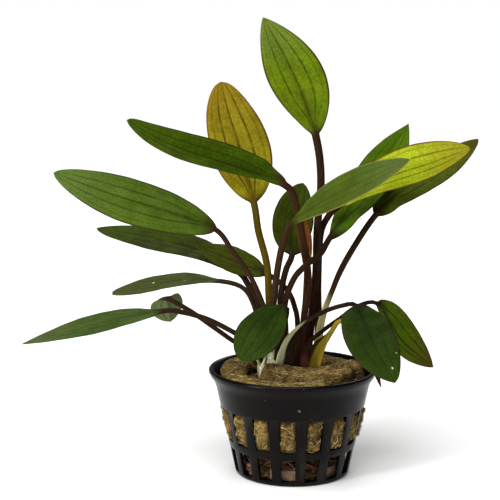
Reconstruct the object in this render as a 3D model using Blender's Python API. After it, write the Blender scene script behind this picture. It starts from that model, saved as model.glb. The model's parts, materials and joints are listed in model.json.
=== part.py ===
"""Amazon sword plant in a black net pot, with rock wool packed round its roots.

Two crowns share the pot. Each leaf is one piece: a round stalk that widens into a thin, folded blade.
The frame has its origin at the centre of the pot's flat underside, +Z up, +X to the right of the front
view and +Y away from it. Every length below is in millimetres, and MM turns it into Blender's metres.
"""

import math
from typing import NamedTuple

import bmesh
import bpy
from mathutils import Vector

MM = 0.001
GAP = 0.3

# Net pot
POT_HEIGHT = 35.2
RIM_RADIUS = 27.9
BASE_RADIUS = 18.9
WALL = 1.0
FLOOR = 1.2
LIP_HEIGHT = 4.8
LIP_THICKNESS = 1.9
LIP_SLANT = 1.6
FOOT_CHAMFER = 0.5
BAND_STEP = 0.4
WINDOW_COLUMNS = 16
WINDOW_SHARE = 0.6
FIRST_BAR_DEG = -84.25
LOWER_WINDOW = (1.5, 9.3)
UPPER_WINDOW = (11.8, 22.8)
WALL_DRAFT_DEG = 11.6
HUB_RADIUS = 7.5
FLOOR_SLOT_RADIUS = 16.0

# Rock wool
PLUG_TOP = 30.4
PLUG_FOOT_RADIUS = 15.4
PLUG_TOP_INSET = 2.0
PLUG_WALL_GAP = 0.45
BULGE_INSET = 0.55
BULGE_REACH = 0.6
BULGE_UNEVENNESS = 0.45
BULGE_SLOPE = 0.8
STRIP_FLOOR = PLUG_TOP + 0.4
STRIP_LUMP = 0.1
STRIP_BLUNT_END = 0.66
STRIP_SECTION = [
    (-0.75, 0), (-1, 0.3), (-0.88, 0.68), (-0.45, 0.94),
    (0.1, 1), (0.6, 0.9), (0.93, 0.6), (1, 0.25), (0.8, 0),
]

# Crowns, one for each plant in the pot
CROWN_LEFT = (-5.7, -1.0)
CROWN_RIGHT = (5.0, 2.0)
CROWN_RADIUS = 2.3
CROWN_TOP = 43.5
CROWN_FOOT = PLUG_TOP + GAP
CROWN_SIDES = 12

# Roots, seen through the lower windows
ROOT_RADIUS = 0.6
ROOT_RING_RADIUS = 17.3
ROOT_SIDES = 6
ROOT_RINGS = 8

# Leaves
STALK_FOOT = PLUG_TOP + 0.8
STALK_RINGS = 6
BLADE_STATIONS = (0.03, 0.09, 0.18, 0.3, 0.44, 0.58, 0.72, 0.86, 0.96, 1.0)
BLADE_THICKNESS = 0.8
BLADE_EDGE_THICKNESS = 0.6
BLADE_SHARPNESS = 1.6
STALK_TO_BLADE = 0.16
TIP_HALF_WIDTH = 0.35
TIP_FLATTENING = 0.6
RING_POINTS = 8
CURVE_STEPS = 12


class Leaf(NamedTuple):
    """A leaf by its stalk, its midrib, its greatest width and where its upper face looks."""

    name: str
    stalk: list
    midrib: list
    width: float
    faces: tuple
    skin: str = "green"
    lean: float = 0.0
    stalk_radius: float = 1.0
    fold_deg: float = 12.0
    widest: float = 0.45
    skew: float = 0.0
    base_fullness: float = 0.6
    fullness: float = 0.75


LEAVES = [
    Leaf(
        "leaf_top",
        stalk=[
            (4.6, 6.3, STALK_FOOT), (6.7, 5.8, 52.5), (7.9, 6.5, 65), (8.3, 7.8, 80),
            (9.5, 9.5, 97), (7.8, 11, 111),
        ],
        midrib=[(2.8, 15.5, 126), (-2.8, 19.5, 138), (-9.7, 23, 150.3)],
        width=19.2,
        faces=(0.1, -1, 0.2),
        stalk_radius=1.3,
        widest=0.47,
        lean=0.03,
        skew=-0.02,
        base_fullness=0.82,
        fullness=0.8,
    ),
    Leaf(
        "leaf_gold",
        stalk=[(-5.2, 2.7, STALK_FOOT), (-7.6, 3, 55), (-8.4, 8, 68), (-11.3, 15, 79), (-12.8, 20, 88)],
        midrib=[(-18, 28, 107), (-21.6, 33, 118), (-24.4, 38, 128.6)],
        width=20.5,
        stalk_radius=1.1,
        faces=(0, -1, 0.35),
        skin="gold",
        widest=0.43,
        fold_deg=8,
        lean=0.03,
        skew=-0.015,
        base_fullness=0.72,
        fullness=0.52,
    ),
    Leaf(
        "leaf_left_high",
        stalk=[
            (2.4, -0.9, STALK_FOOT), (3.7, -1.2, 52), (5.0, -1.5, 65),
            (3.2, -2, 78), (0.8, -3, 89.6), (-2.8, -5, 96.2),
        ],
        midrib=[(-18.9, -10, 102.4), (-35, -16, 108.3), (-44.4, -20, 112.8), (-51.7, -23, 117.8)],
        width=13.4,
        faces=(0.3, -0.68, 0.7),
        skin="dark",
        stalk_radius=1.15,
        fold_deg=26,
        widest=0.52,
        lean=0.04,
        skew=-0.1,
        base_fullness=0.45,
        fullness=0.52,
    ),
    Leaf(
        "leaf_left_broad",
        stalk=[
            (-6.9, -0.9, 44.1), (-8.3, -3, 51), (-9.9, -3.2, 57),
            (-14, -4, 66.3), (-19.6, -5, 74.4), (-25.2, -7, 82.1),
        ],
        midrib=[(-38, -10.5, 87.5), (-57, -15, 94), (-75.2, -18, 101.2)],
        width=17.7,
        faces=(0.2, -0.77, 0.68),
        fold_deg=4,
        widest=0.5,
        lean=-0.06,
        base_fullness=0.5,
        fullness=0.62,
    ),
    Leaf(
        "leaf_left_dark",
        stalk=[
            (-7.4, 2.3, STALK_FOOT), (-9.9, 2.2, 51), (-11.8, 4, 56.5),
            (-15, 10.5, 61.6), (-18.5, 15, 65),
        ],
        midrib=[(-31, 21, 70.9), (-49, 27.5, 74.7), (-68.2, 34, 77.3)],
        width=17.5,
        fullness=0.62,
        faces=(0.28, -0.42, 0.9),
        skin="dark",
        stalk_radius=0.9,
        fold_deg=8,
        widest=0.5,
        lean=-0.07,
        base_fullness=0.65,
    ),
    Leaf(
        "leaf_left_olive",
        stalk=[
            (2.4, 4.7, STALK_FOOT), (1.8, 5.6, 49), (1.2, 6.8, 53),
            (-0.6, 8.7, 58), (-3.8, 10.6, 61.6), (-8.7, 12, 64.6),
        ],
        midrib=[(-17.5, 12.3, 67.9), (-25, 12.6, 71), (-32.5, 13, 73.9)],
        width=13,
        faces=(0.3, -0.58, 0.8),
        skin="dark",
        stalk_radius=0.9,
        fold_deg=5,
        lean=0.05,
        base_fullness=0.6,
    ),
    Leaf(
        "leaf_centre_dark",
        stalk=[(-2.9, 1.4, STALK_FOOT), (-4.0, 2.2, 54), (-3.5, 4, 61), (-2, 7, 67), (0, 9, 71.5)],
        midrib=[(0, 12, 79), (1.2, 14, 87), (3.8, 16, 95.0)],
        width=14.0,
        faces=(0, -1, 0.2),
        skin="dark",
        stalk_radius=0.8,
        base_fullness=0.5,
        fullness=0.6,
    ),
    Leaf(
        "leaf_right_front",
        stalk=[
            (-4.8, -2.3, 44.1), (-6.6, -5, 50.5), (-6.5, -6.2, 57.5), (-5.1, -8, 70),
            (-3.3, -10, 79), (-0.9, -11, 84.4),
        ],
        midrib=[(8.9, -15, 92), (20, -19, 98.3), (34.6, -24, 105.7)],
        width=16,
        faces=(-0.4, -0.5, 0.8),
        stalk_radius=0.85,
        fold_deg=4,
        widest=0.5,
        base_fullness=0.8,
        fullness=0.65,
    ),
    Leaf(
        "leaf_right_back",
        stalk=[
            (-2.2, -1.6, STALK_FOOT), (-2.4, -3.4, 48), (-2.7, -5, 57.5), (0.2, -6, 66),
            (4.7, -5, 70.7), (8.9, -1, 73.2), (12.2, 4, 77.8),
        ],
        midrib=[(18.9, 14.5, 85.8), (29, 27, 97.8), (41.9, 39, 113.8)],
        width=18.4,
        skew=-0.06,
        faces=(-0.5, -0.7, 0.5),
        stalk_radius=0.85,
        widest=0.58,
        fullness=0.92,
        lean=0.26,
        base_fullness=0.45,
    ),
    Leaf(
        "leaf_right_lime",
        stalk=[
            (7.7, 4.7, STALK_FOOT), (8.9, 7.7, 50), (8.9, 9.9, 60), (9.2, 10.6, 73),
            (10, 10.6, 80), (12.3, 9.4, 84.8), (14.9, 8.3, 87.6),
        ],
        midrib=[(26.8, 4, 95.8), (35, 1.5, 99.5), (44.3, -1.5, 102.9), (56.2, -7, 108)],
        width=17,
        faces=(-0.26, -0.71, 0.73),
        skin="lime",
        stalk_radius=1.1,
        fold_deg=17,
        widest=0.56,
        lean=-0.08,
        base_fullness=0.7,
        fullness=0.65,
    ),
    Leaf(
        "leaf_right_dark",
        stalk=[(8.6, 1.6, STALK_FOOT), (9.6, 2.4, 49.5), (14.1, 5, 62.6), (20, 9, 73), (28.4, 14, 84.5)],
        midrib=[(36.7, 17, 91.6), (50.6, 20, 100), (64, 24, 109.3)],
        width=16.5,
        fullness=0.65,
        faces=(-0.35, -0.55, 0.75),
        skin="dark",
        stalk_radius=1.05,
        lean=0.08,
        base_fullness=0.5,
    ),
    Leaf(
        "leaf_droop_front",
        stalk=[
            (-3.2, -4.0, STALK_FOOT), (-1.4, -5.4, 43.5), (2.3, -7, 50),
            (8.8, -9, 55.1), (15.7, -12, 58.2), (19.7, -14.5, 58.6),
        ],
        midrib=[(22.1, -23, 54), (24.7, -33, 48), (29.3, -42, 40.3)],
        width=16.5,
        faces=(0.1, -0.7, 0.7),
        skin="dark",
        widest=0.5,
        fold_deg=6,
        lean=0.08,
        base_fullness=0.4,
        fullness=0.65,
    ),
    Leaf(
        "leaf_droop_right",
        stalk=[
            (3.0, -3.2, STALK_FOOT), (4.6, -4, 43), (9.2, -3.2, 47.6),
            (15.3, 0, 51.4), (22.4, 3, 55.5), (28.2, 4, 55.9),
        ],
        midrib=[(32.6, 7, 49), (37.7, 9, 41.6), (48.2, 10.5, 32.7)],
        width=15.5,
        faces=(0.45, -0.65, 0.6),
        stalk_radius=0.8,
        widest=0.5,
        lean=-0.15,
        base_fullness=0.56,
    ),
    Leaf(
        "leaf_droop_left",
        stalk=[
            (-5.9, -4.7, STALK_FOOT), (-4.8, -6.6, 45), (-3.2, -8, 51), (-2.3, -9.2, 55.8),
            (-3, -10.4, 57.4),
        ],
        midrib=[(-6.4, -14, 55.8), (-10.3, -18.5, 51.5), (-17, -24, 43)],
        width=15.3,
        faces=(-0.15, -0.7, 0.7),
        skin="dark",
        fold_deg=6,
        widest=0.58,
        lean=-0.02,
        base_fullness=0.5,
        fullness=0.55,
    ),
    Leaf(
        "leaf_left_narrow",
        stalk=[
            (-9.0, 0.8, STALK_FOOT), (-11.5, -1.8, 50), (-13.1, -1.8, 57), (-16.4, -1, 62),
            (-23.3, 0, 64),
        ],
        midrib=[(-35, 4, 63.8), (-47.6, 8, 61.5), (-60.7, 12, 58.3)],
        width=16,
        faces=(0, -0.24, 1),
        stalk_radius=0.8,
        fold_deg=5,
        widest=0.6,
        lean=-0.1,
        base_fullness=0.6,
        fullness=0.5,
    ),
    Leaf(
        "leaf_left_low",
        stalk=[
            (-8.3, -3.8, STALK_FOOT), (-9.9, -4.4, 35.7), (-14, -6.2, 44.4), (-19, -8.3, 48.4),
            (-28, -12, 53.8), (-36.4, -15, 56.7), (-41.6, -18, 57.5),
        ],
        midrib=[(-55.5, -24, 56), (-69.5, -29, 53.2), (-83.3, -34, 50.4)],
        width=13,
        faces=(0, -0.25, 0.95),
        stalk_radius=0.9,
        fold_deg=4,
        base_fullness=0.8,
        fullness=0.85,
    ),
    Leaf(
        "leaf_left_curled",
        stalk=[
            (-9.3, -1.3, STALK_FOOT), (-10.6, -1.7, 35), (-15.7, -2.6, 42.1), (-19.7, -4, 44.9),
            (-27, -6, 50.6), (-33.6, -7, 55.5), (-40.7, -7, 59.5),
        ],
        midrib=[(-41.2, -3.5, 57.6), (-40.9, 1, 53.6), (-40.6, 5, 49.6)],
        width=11.2,
        lean=-0.02,
        faces=(-0.35, 0.45, 0.8),
        stalk_radius=0.8,
        fold_deg=15,
        widest=0.5,
        base_fullness=0.36,
        fullness=0.6,
    ),
    Leaf(
        "leaf_young_orange",
        stalk=[
            (1.4, 2.4, STALK_FOOT), (1.6, 2.4, 42), (3.4, 1.9, 50), (4.1, 2.4, 57.4),
            (4.5, 3.4, 68),
        ],
        midrib=[(4, 4, 76), (3, 5, 83), (2.1, 6, 89)],
        width=5,
        faces=(0.3, -1, 0.1),
        skin="orange",
        stalk_radius=0.8,
        fold_deg=25,
    ),
    Leaf(
        "leaf_withered",
        stalk=[(7.6, -1.6, STALK_FOOT), (9.6, -3, 41), (11, -4.2, 44), (12.6, -6, 47), (14.6, -8, 50)],
        midrib=[(19.6, -12, 50.2), (23.8, -16, 43), (27.4, -20, 33.4)],
        width=4.5,
        faces=(0.4, -0.6, 0.6),
        skin="withered",
        stalk_radius=0.8,
        fold_deg=30,
        base_fullness=0.7,
    ),
]


def remove_everything():
    for item in list(bpy.data.objects):
        bpy.data.objects.remove(item, do_unlink=True)


def material(name, color, roughness, metallic=0.0):
    made = bpy.data.materials.new(name)
    made.use_nodes = True
    shader = made.node_tree.nodes["Principled BSDF"]
    shader.inputs["Base Color"].default_value = (*color, 1.0)
    shader.inputs["Roughness"].default_value = roughness
    shader.inputs["Metallic"].default_value = metallic
    made.diffuse_color = (*color, 1.0)
    return made


def pot_plastic():
    return material("black pot plastic", (0.012, 0.011, 0.010), 0.3)


def rock_wool_fibre():
    return material("rock wool", (0.27, 0.19, 0.075), 0.95)


def crown_tissue():
    return material("crown", (0.55, 0.55, 0.34), 0.6)


def root_skin():
    return material("root", (0.22, 0.09, 0.035), 0.7)


def leaf_skins():
    """A material for each leaf colour: green, dark green, old gold, backlit lime, young and withered."""
    return {
        "green": material("leaf green", (0.12, 0.25, 0.02), 0.4),
        "dark": material("leaf dark green", (0.035, 0.085, 0.012), 0.35),
        "gold": material("leaf gold", (0.4, 0.3, 0.03), 0.5),
        "lime": material("leaf lime", (0.34, 0.42, 0.03), 0.4),
        "orange": material("leaf young orange", (0.42, 0.17, 0.03), 0.5),
        "withered": material("leaf withered", (0.28, 0.12, 0.04), 0.7),
    }


def add_object(name, mesh, skin, smooth_deg=40):
    item = bpy.data.objects.new(name, mesh)
    bpy.context.scene.collection.objects.link(item)
    item.data.materials.append(skin)
    item.data.shade_smooth()
    item.data.set_sharp_from_angle(angle=math.radians(smooth_deg))
    return item


def mesh_from(name, vertices, faces):
    mesh = bpy.data.meshes.new(name)
    mesh.from_pydata([Vector(v) * MM for v in vertices], [], faces)
    work = bmesh.new()
    work.from_mesh(mesh)
    bmesh.ops.recalc_face_normals(work, faces=work.faces)
    work.to_mesh(mesh)
    work.free()
    return mesh


def loft(rings):
    """Vertices and faces of a closed solid through rings that have the same number of points."""
    count = len(rings[0])
    vertices = [point for ring in rings for point in ring]
    faces = [tuple(range(count)), tuple(range(len(vertices) - count, len(vertices)))]
    for row in range(len(rings) - 1):
        for i in range(count):
            j = (i + 1) % count
            low = row * count
            high = low + count
            faces.append((low + i, low + j, high + j, high + i))
    return vertices, faces


def blend(a, b, share):
    return a + (b - a) * share


def ease(share):
    share = min(max(share, 0.0), 1.0)
    return share * share * (3 - 2 * share)


def smooth_curve(points):
    """Points along a Catmull-Rom curve that passes through the points given."""
    points = [Vector(p) for p in points]
    ends = [2 * points[0] - points[1], *points, 2 * points[-1] - points[-2]]
    curve = []
    for i in range(1, len(ends) - 2):
        a, b, c, d = ends[i - 1 : i + 3]
        bend = 2 * a - 5 * b + 4 * c - d
        twist = 3 * b - a - 3 * c + d
        for step in range(CURVE_STEPS):
            t = step / CURVE_STEPS
            curve.append(0.5 * (2 * b + (c - a) * t + bend * t**2 + twist * t**3))
    curve.append(points[-1])
    return curve


def point_at(curve, share):
    """The point and the direction at a share of a curve's length."""
    steps = [(b - a).length for a, b in zip(curve, curve[1:])]
    left = share * sum(steps)
    for i, step in enumerate(steps):
        if left <= step or i == len(steps) - 1:
            part = min(left / step, 1.0)
            before = curve[max(i - 1, 0)]
            after = curve[min(i + 2, len(curve) - 1)]
            return curve[i].lerp(curve[i + 1], part), (after - before).normalized()
        left -= step
    return curve[-1], (curve[-1] - curve[-2]).normalized()


def side_across(direction, faces):
    """The unit vector across a blade, to the right of its direction as seen from the face's side."""
    return direction.cross(Vector(faces)).normalized()


def half_width(leaf, share, side):
    """Half the blade's width at a share of its length, to the left (side -1) or right (1) of the midrib."""
    widest = leaf.widest + leaf.skew * side
    bent = share ** (math.log(0.5) / math.log(widest))
    outline = math.sin(math.pi * min(bent, 1.0)) ** (leaf.base_fullness if share < widest else leaf.fullness)
    base = leaf.stalk_radius * (1 - ease(share / 0.2))
    return max(leaf.width / 2 * (1 + leaf.lean * side) * outline, base, TIP_HALF_WIDTH)


def leaf_ring(leaf, centre, direction, across, share):
    """Eight points round the leaf: a circle on the stalk, a thin folded lens on the blade."""
    up = across.cross(direction)
    flat = ease(share / STALK_TO_BLADE)
    fold = math.radians(leaf.fold_deg) * flat * (1 - TIP_FLATTENING * share)
    ring = []
    for i in range(RING_POINTS):
        angle = math.tau * i / RING_POINTS
        round_reach = math.cos(angle)
        side = math.copysign(1, round_reach)
        wide = half_width(leaf, share, side) if share > 0 else leaf.stalk_radius
        sharp_reach = side * abs(round_reach) ** BLADE_SHARPNESS
        sideways = blend(round_reach, sharp_reach, flat) * wide
        on_midrib = i % (RING_POINTS // 2) == RING_POINTS // 4
        thin = (BLADE_THICKNESS if on_midrib else BLADE_EDGE_THICKNESS) / 2
        lift = math.sin(angle) * blend(leaf.stalk_radius, thin, flat)
        rise = lift + abs(sideways) * math.sin(fold)
        ring.append(centre + across * sideways * math.cos(fold) + up * rise)
    return ring


def leaf_rings(leaf):
    curve = smooth_curve([*leaf.stalk, *leaf.midrib])
    base_index = (len(leaf.stalk) - 1) * CURVE_STEPS
    stalk_curve = curve[: base_index + 1]
    blade_curve = curve[base_index:]

    _, direction = point_at(blade_curve, 0.0)
    across = side_across(direction, leaf.faces)
    stalk_rings = []
    for step in range(STALK_RINGS, -1, -1):
        centre, heading = point_at(stalk_curve, step / STALK_RINGS)
        across = (across - heading * across.dot(heading)).normalized()
        stalk_rings.insert(0, leaf_ring(leaf, centre, heading, across, 0.0))

    blade_rings = []
    for share in BLADE_STATIONS:
        centre, heading = point_at(blade_curve, share)
        blade_rings.append(leaf_ring(leaf, centre, heading, side_across(heading, leaf.faces), share))
    return stalk_rings + blade_rings


def make_leaf(leaf, skin):
    return add_object(leaf.name, mesh_from(leaf.name, *loft(leaf_rings(leaf))), skin)


def wall_radius(height):
    """Outer radius of the pot's wall below its lip."""
    return BASE_RADIUS + math.tan(math.radians(WALL_DRAFT_DEG)) * height


def bar_angles():
    """Angles of each bar's two sides and of the middle of the window after it, all round the pot."""
    pitch = math.tau / WINDOW_COLUMNS
    window = pitch * WINDOW_SHARE
    stations = []
    for column in range(WINDOW_COLUMNS):
        bar = math.radians(FIRST_BAR_DEG) + column * pitch
        half_bar = (pitch - window) / 2
        stations += [bar - half_bar, bar + half_bar, bar + half_bar + window / 2]
    return stations


def pot_profile():
    """Named (radius, height) stops under the base, up the outside, over the lip and down the inside."""
    lip_foot = POT_HEIGHT - LIP_HEIGHT
    band_foot = UPPER_WINDOW[1] + BAND_STEP
    stops = {
        "under hub": (HUB_RADIUS, 0),
        "under slot": (FLOOR_SLOT_RADIUS, 0),
        "foot": (wall_radius(0) - FOOT_CHAMFER, 0),
        "foot side": (wall_radius(FOOT_CHAMFER), FOOT_CHAMFER),
        "lower sill": (wall_radius(LOWER_WINDOW[0]), LOWER_WINDOW[0]),
        "lower head": (wall_radius(LOWER_WINDOW[1]), LOWER_WINDOW[1]),
        "upper sill": (wall_radius(UPPER_WINDOW[0]), UPPER_WINDOW[0]),
        "upper head": (wall_radius(UPPER_WINDOW[1]), UPPER_WINDOW[1]),
        "band foot": (wall_radius(band_foot) + BAND_STEP, band_foot),
        "band top": (wall_radius(lip_foot) + BAND_STEP, lip_foot),
        "lip underside": (RIM_RADIUS - LIP_SLANT, lip_foot + 0.3),
        "lip side": (RIM_RADIUS, POT_HEIGHT - 1.0),
        "lip top": (RIM_RADIUS - 0.8, POT_HEIGHT),
        "inner lip": (RIM_RADIUS - LIP_THICKNESS, POT_HEIGHT - 0.4),
        "inner band": (wall_radius(lip_foot) - WALL, lip_foot),
        "inner upper head": (wall_radius(UPPER_WINDOW[1]) - WALL, UPPER_WINDOW[1]),
        "inner upper sill": (wall_radius(UPPER_WINDOW[0]) - WALL, UPPER_WINDOW[0]),
        "inner lower head": (wall_radius(LOWER_WINDOW[1]) - WALL, LOWER_WINDOW[1]),
        "inner lower sill": (wall_radius(LOWER_WINDOW[0]) - WALL, LOWER_WINDOW[0]),
        "floor slot": (FLOOR_SLOT_RADIUS, FLOOR),
        "floor hub": (HUB_RADIUS, FLOOR),
    }
    return list(stops), list(stops.values())


def is_window(column):
    """Each column of the pot's mesh is a bar or one half of the window after it."""
    return column % 3 != 0


def is_floor_slot(column):
    """The floor has a spoke under every second bar and one slot between two spokes."""
    return column % 6 != 0


def make_pot(skin):
    stations = bar_angles()
    count = len(stations)
    names, profile = pot_profile()
    vertices = [(r * math.cos(a), r * math.sin(a), z) for r, z in profile for a in stations]
    faces = [tuple(range(count)), tuple(range((len(profile) - 1) * count, len(profile) * count))]

    def corner(name, column):
        return names.index(name) * count + column % count

    openings = [
        ("under hub", "under slot", "floor hub", "floor slot", is_floor_slot),
        ("lower sill", "lower head", "inner lower sill", "inner lower head", is_window),
        ("upper sill", "upper head", "inner upper sill", "inner upper head", is_window),
    ]
    open_from = {low: is_open for low, _, _, _, is_open in openings}
    open_from.update({inner_high: is_open for _, _, _, inner_high, is_open in openings})
    for lower, upper in zip(names, names[1:]):
        for column in range(count):
            if lower in open_from and open_from[lower](column):
                continue
            quad = ((lower, 0), (lower, 1), (upper, 1), (upper, 0))
            faces.append(tuple(corner(name, column + step) for name, step in quad))

    for low, high, inner_low, inner_high, is_open in openings:
        for column in filter(is_open, range(count)):
            for outer, inner in ((low, inner_low), (high, inner_high)):
                quad = ((outer, 0), (outer, 1), (inner, 1), (inner, 0))
                faces.append(tuple(corner(name, column + step) for name, step in quad))
            for edge, neighbour in ((column, column - 1), (column + 1, column + 1)):
                if not is_open(neighbour % count):
                    faces.append(tuple(corner(name, edge) for name in (low, high, inner_high, inner_low)))
    return add_object("net_pot", mesh_from("net_pot", vertices, faces), skin, smooth_deg=30)


def bulge(column):
    """How far the rock wool swells out through a window of the pot, from flush to a full bulge."""
    return BULGE_REACH * (1 - BULGE_UNEVENNESS + BULGE_UNEVENNESS * math.sin(column * 2.3 + 0.6))


def make_plug(skin):
    """Rock wool pressed into the pot: it swells into the upper windows and draws back at the lower ones."""
    pitch = math.tau / WINDOW_COLUMNS
    half_window = pitch * WINDOW_SHARE / 2
    low, high = UPPER_WINDOW
    inset = BULGE_INSET / wall_radius(low)
    levels = [
        (FLOOR + GAP, PLUG_FOOT_RADIUS, False),
        (LOWER_WINDOW[1], PLUG_FOOT_RADIUS + BULGE_SLOPE, False),
        (low - 1.2, None, False),
        (low + BULGE_INSET, None, False),
        (low + BULGE_INSET + BULGE_SLOPE, None, True),
        (high - BULGE_INSET - BULGE_SLOPE, None, True),
        (high - BULGE_INSET, None, False),
        (PLUG_TOP - 1.5, None, False),
        (PLUG_TOP, wall_radius(PLUG_TOP) - WALL - PLUG_TOP_INSET, False),
    ]
    rings = []
    for height, radius, swells in levels:
        ring = []
        for column in range(WINDOW_COLUMNS):
            middle = math.radians(FIRST_BAR_DEG) + (column + 0.5) * pitch
            for offset, is_bulge in (
                (-half_window, False),
                (-half_window + inset, True),
                (half_window - inset, True),
                (half_window, False),
            ):
                reach = radius or wall_radius(height) - WALL - PLUG_WALL_GAP
                if swells and is_bulge:
                    reach = wall_radius(height) + bulge(column)
                ring.append(
                    (reach * math.cos(middle + offset), reach * math.sin(middle + offset), height)
                )
        rings.append(ring)
    return add_object("rock_wool_plug", mesh_from("rock_wool_plug", *loft(rings)), skin, smooth_deg=50)


def make_strip(name, path, width, height, skin, rings, phase):
    """A lumpy strip of rock wool along a path on top of the block, rounded above and blunt at its ends."""
    curve = smooth_curve([(x, y, STRIP_FLOOR) for x, y in path])
    sections = []
    for step in range(rings + 1):
        share = step / rings
        centre, heading = point_at(curve, share)
        across = heading.cross(Vector((0, 0, 1))).normalized()
        end = blend(STRIP_BLUNT_END, 1.0, math.sin(math.pi * share) ** 0.4 if 0 < share < 1 else 0.0)
        lump = 1 + STRIP_LUMP * math.sin(7 * share + phase)
        section = []
        for sideways, upward in STRIP_SECTION:
            rise = height * upward * end * lump
            section.append(centre + across * (sideways * width / 2 * end) + Vector((0, 0, rise)))
        sections.append(section)
    return add_object(name, mesh_from(name, *loft(sections)), skin, smooth_deg=60)


def make_crown(name, place, skin):
    """The short bulb that a plant's leaves grow from."""
    profile = [
        (0.8 * CROWN_RADIUS, CROWN_FOOT),
        (CROWN_RADIUS, CROWN_FOOT + 2.5),
        (CROWN_RADIUS, CROWN_TOP - 5.0),
        (0.85 * CROWN_RADIUS, CROWN_TOP - 2.5),
        (0.6 * CROWN_RADIUS, CROWN_TOP),
    ]
    x, y = place
    angles = [math.tau * i / CROWN_SIDES for i in range(CROWN_SIDES)]
    rings = []
    for radius, height in profile:
        rings.append([(x + radius * math.cos(a), y + radius * math.sin(a), height) for a in angles])
    return add_object(name, mesh_from(name, *loft(rings)), skin)


def make_root(name, start_deg, end_deg, heights, skin):
    """A root that wanders up and down along the inside of the pot's wall."""
    curve = smooth_curve(round_the_pot(start_deg, end_deg, heights))
    across = Vector((0, 0, 1))
    angles = [math.tau * i / ROOT_SIDES for i in range(ROOT_SIDES)]
    sections = []
    for step in range(ROOT_RINGS + 1):
        centre, heading = point_at(curve, step / ROOT_RINGS)
        across = (across - heading * across.dot(heading)).normalized()
        up = across.cross(heading)
        sections.append([centre + (across * math.cos(a) + up * math.sin(a)) * ROOT_RADIUS for a in angles])
    return add_object(name, mesh_from(name, *loft(sections)), skin)


def round_the_pot(start_deg, end_deg, heights):
    """Points on an arc just inside the pot's wall, one for each height."""
    points = []
    for i, height in enumerate(heights):
        angle = math.radians(blend(start_deg, end_deg, i / (len(heights) - 1)))
        points.append((ROOT_RING_RADIUS * math.cos(angle), ROOT_RING_RADIUS * math.sin(angle), height))
    return points


def arc(radius, start_deg, end_deg, count=5):
    """Places along an arc round the pot's axis, seen from above."""
    angles = [math.radians(blend(start_deg, end_deg, i / (count - 1))) for i in range(count)]
    return [(radius * math.cos(a), radius * math.sin(a)) for a in angles]


def main():
    remove_everything()
    make_pot(pot_plastic())

    wool = rock_wool_fibre()
    roll_path = [(-8.6, -10.2), (1, -10.9), (10, -9.8), (21.2, -4.8)]
    make_plug(wool)
    make_strip("rock_wool_front", arc(20.6, 196, 300), 6.0, 4.6, wool, rings=10, phase=0.0)
    make_strip("rock_wool_roll", roll_path, 7.6, 6.6, wool, rings=10, phase=1.3)
    make_strip("rock_wool_back", arc(19.2, 14, 106), 7.6, 4.8, wool, rings=8, phase=2.1)
    make_strip("rock_wool_left", arc(19.0, 118, 184), 7.6, 4.6, wool, rings=7, phase=3.0)

    tissue = crown_tissue()
    make_crown("crown_left", CROWN_LEFT, tissue)
    make_crown("crown_right", CROWN_RIGHT, tissue)

    skin = root_skin()
    make_root("root_front", 236, 300, [3.2, 6.5, 4.0, 7.6], skin)
    make_root("root_left", 165, 228, [7.4, 3.4, 6.2, 3.2], skin)
    make_root("root_right", 306, 372, [3.4, 6.6, 4.2, 7.0], skin)

    skins = leaf_skins()
    for leaf in LEAVES:
        make_leaf(leaf, skins[leaf.skin])


main()
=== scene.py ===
"""Looks of a potted amazon sword plant: leaves, crowns, rock wool, roots and net pot, round its solids.

Shapes are worked out in millimetres in the plant's own frame: origin under the pot, +Z up, +Y away from
the front view. MM turns them into metres where a mesh is made.
"""

import json
import math
import random
from typing import NamedTuple

import bpy
import numpy as np
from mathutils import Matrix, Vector, noise
from mathutils.bvhtree import BVHTree

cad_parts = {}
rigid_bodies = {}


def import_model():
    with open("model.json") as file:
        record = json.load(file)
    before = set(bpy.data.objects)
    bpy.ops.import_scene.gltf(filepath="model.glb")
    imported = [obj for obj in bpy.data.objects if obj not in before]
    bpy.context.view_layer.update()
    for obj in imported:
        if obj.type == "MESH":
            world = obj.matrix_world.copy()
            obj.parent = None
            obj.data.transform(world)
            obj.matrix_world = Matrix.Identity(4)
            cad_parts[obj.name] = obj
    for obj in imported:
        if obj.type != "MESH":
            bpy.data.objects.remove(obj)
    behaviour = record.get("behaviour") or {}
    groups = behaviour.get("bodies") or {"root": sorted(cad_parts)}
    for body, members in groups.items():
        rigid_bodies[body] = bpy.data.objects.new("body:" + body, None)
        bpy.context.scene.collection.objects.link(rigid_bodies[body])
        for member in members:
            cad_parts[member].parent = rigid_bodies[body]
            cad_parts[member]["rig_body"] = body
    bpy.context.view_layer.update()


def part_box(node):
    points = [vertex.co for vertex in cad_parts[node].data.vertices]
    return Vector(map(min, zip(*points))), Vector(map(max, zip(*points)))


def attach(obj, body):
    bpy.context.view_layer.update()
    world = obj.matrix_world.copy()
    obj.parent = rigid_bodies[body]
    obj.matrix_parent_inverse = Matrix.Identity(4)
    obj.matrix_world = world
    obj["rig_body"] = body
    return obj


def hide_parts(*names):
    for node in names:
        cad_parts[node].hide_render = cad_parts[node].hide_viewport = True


bl_info = {
    "name": "Potted sword plant",
    "version": (1, 0, 0),
    "blender": (4, 5, 0),
    "location": "3D View > Sidebar > Sword plant",
    "description": "Leaves, rock wool, roots and net pot of a potted amazon sword plant",
    "category": "Object",
}

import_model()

MM = 0.001
BODY = "root"


def in_mm(node):
    """Lowest and highest corners of a solid, in millimetres."""
    low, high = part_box(node)
    return low / MM, high / MM


POT_HIGH = in_mm("net_pot")[1]
RIM_RADIUS = POT_HIGH.x
POT_HEIGHT = POT_HIGH.z
WOOL_TOP = in_mm("rock_wool_plug")[1].z

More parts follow.
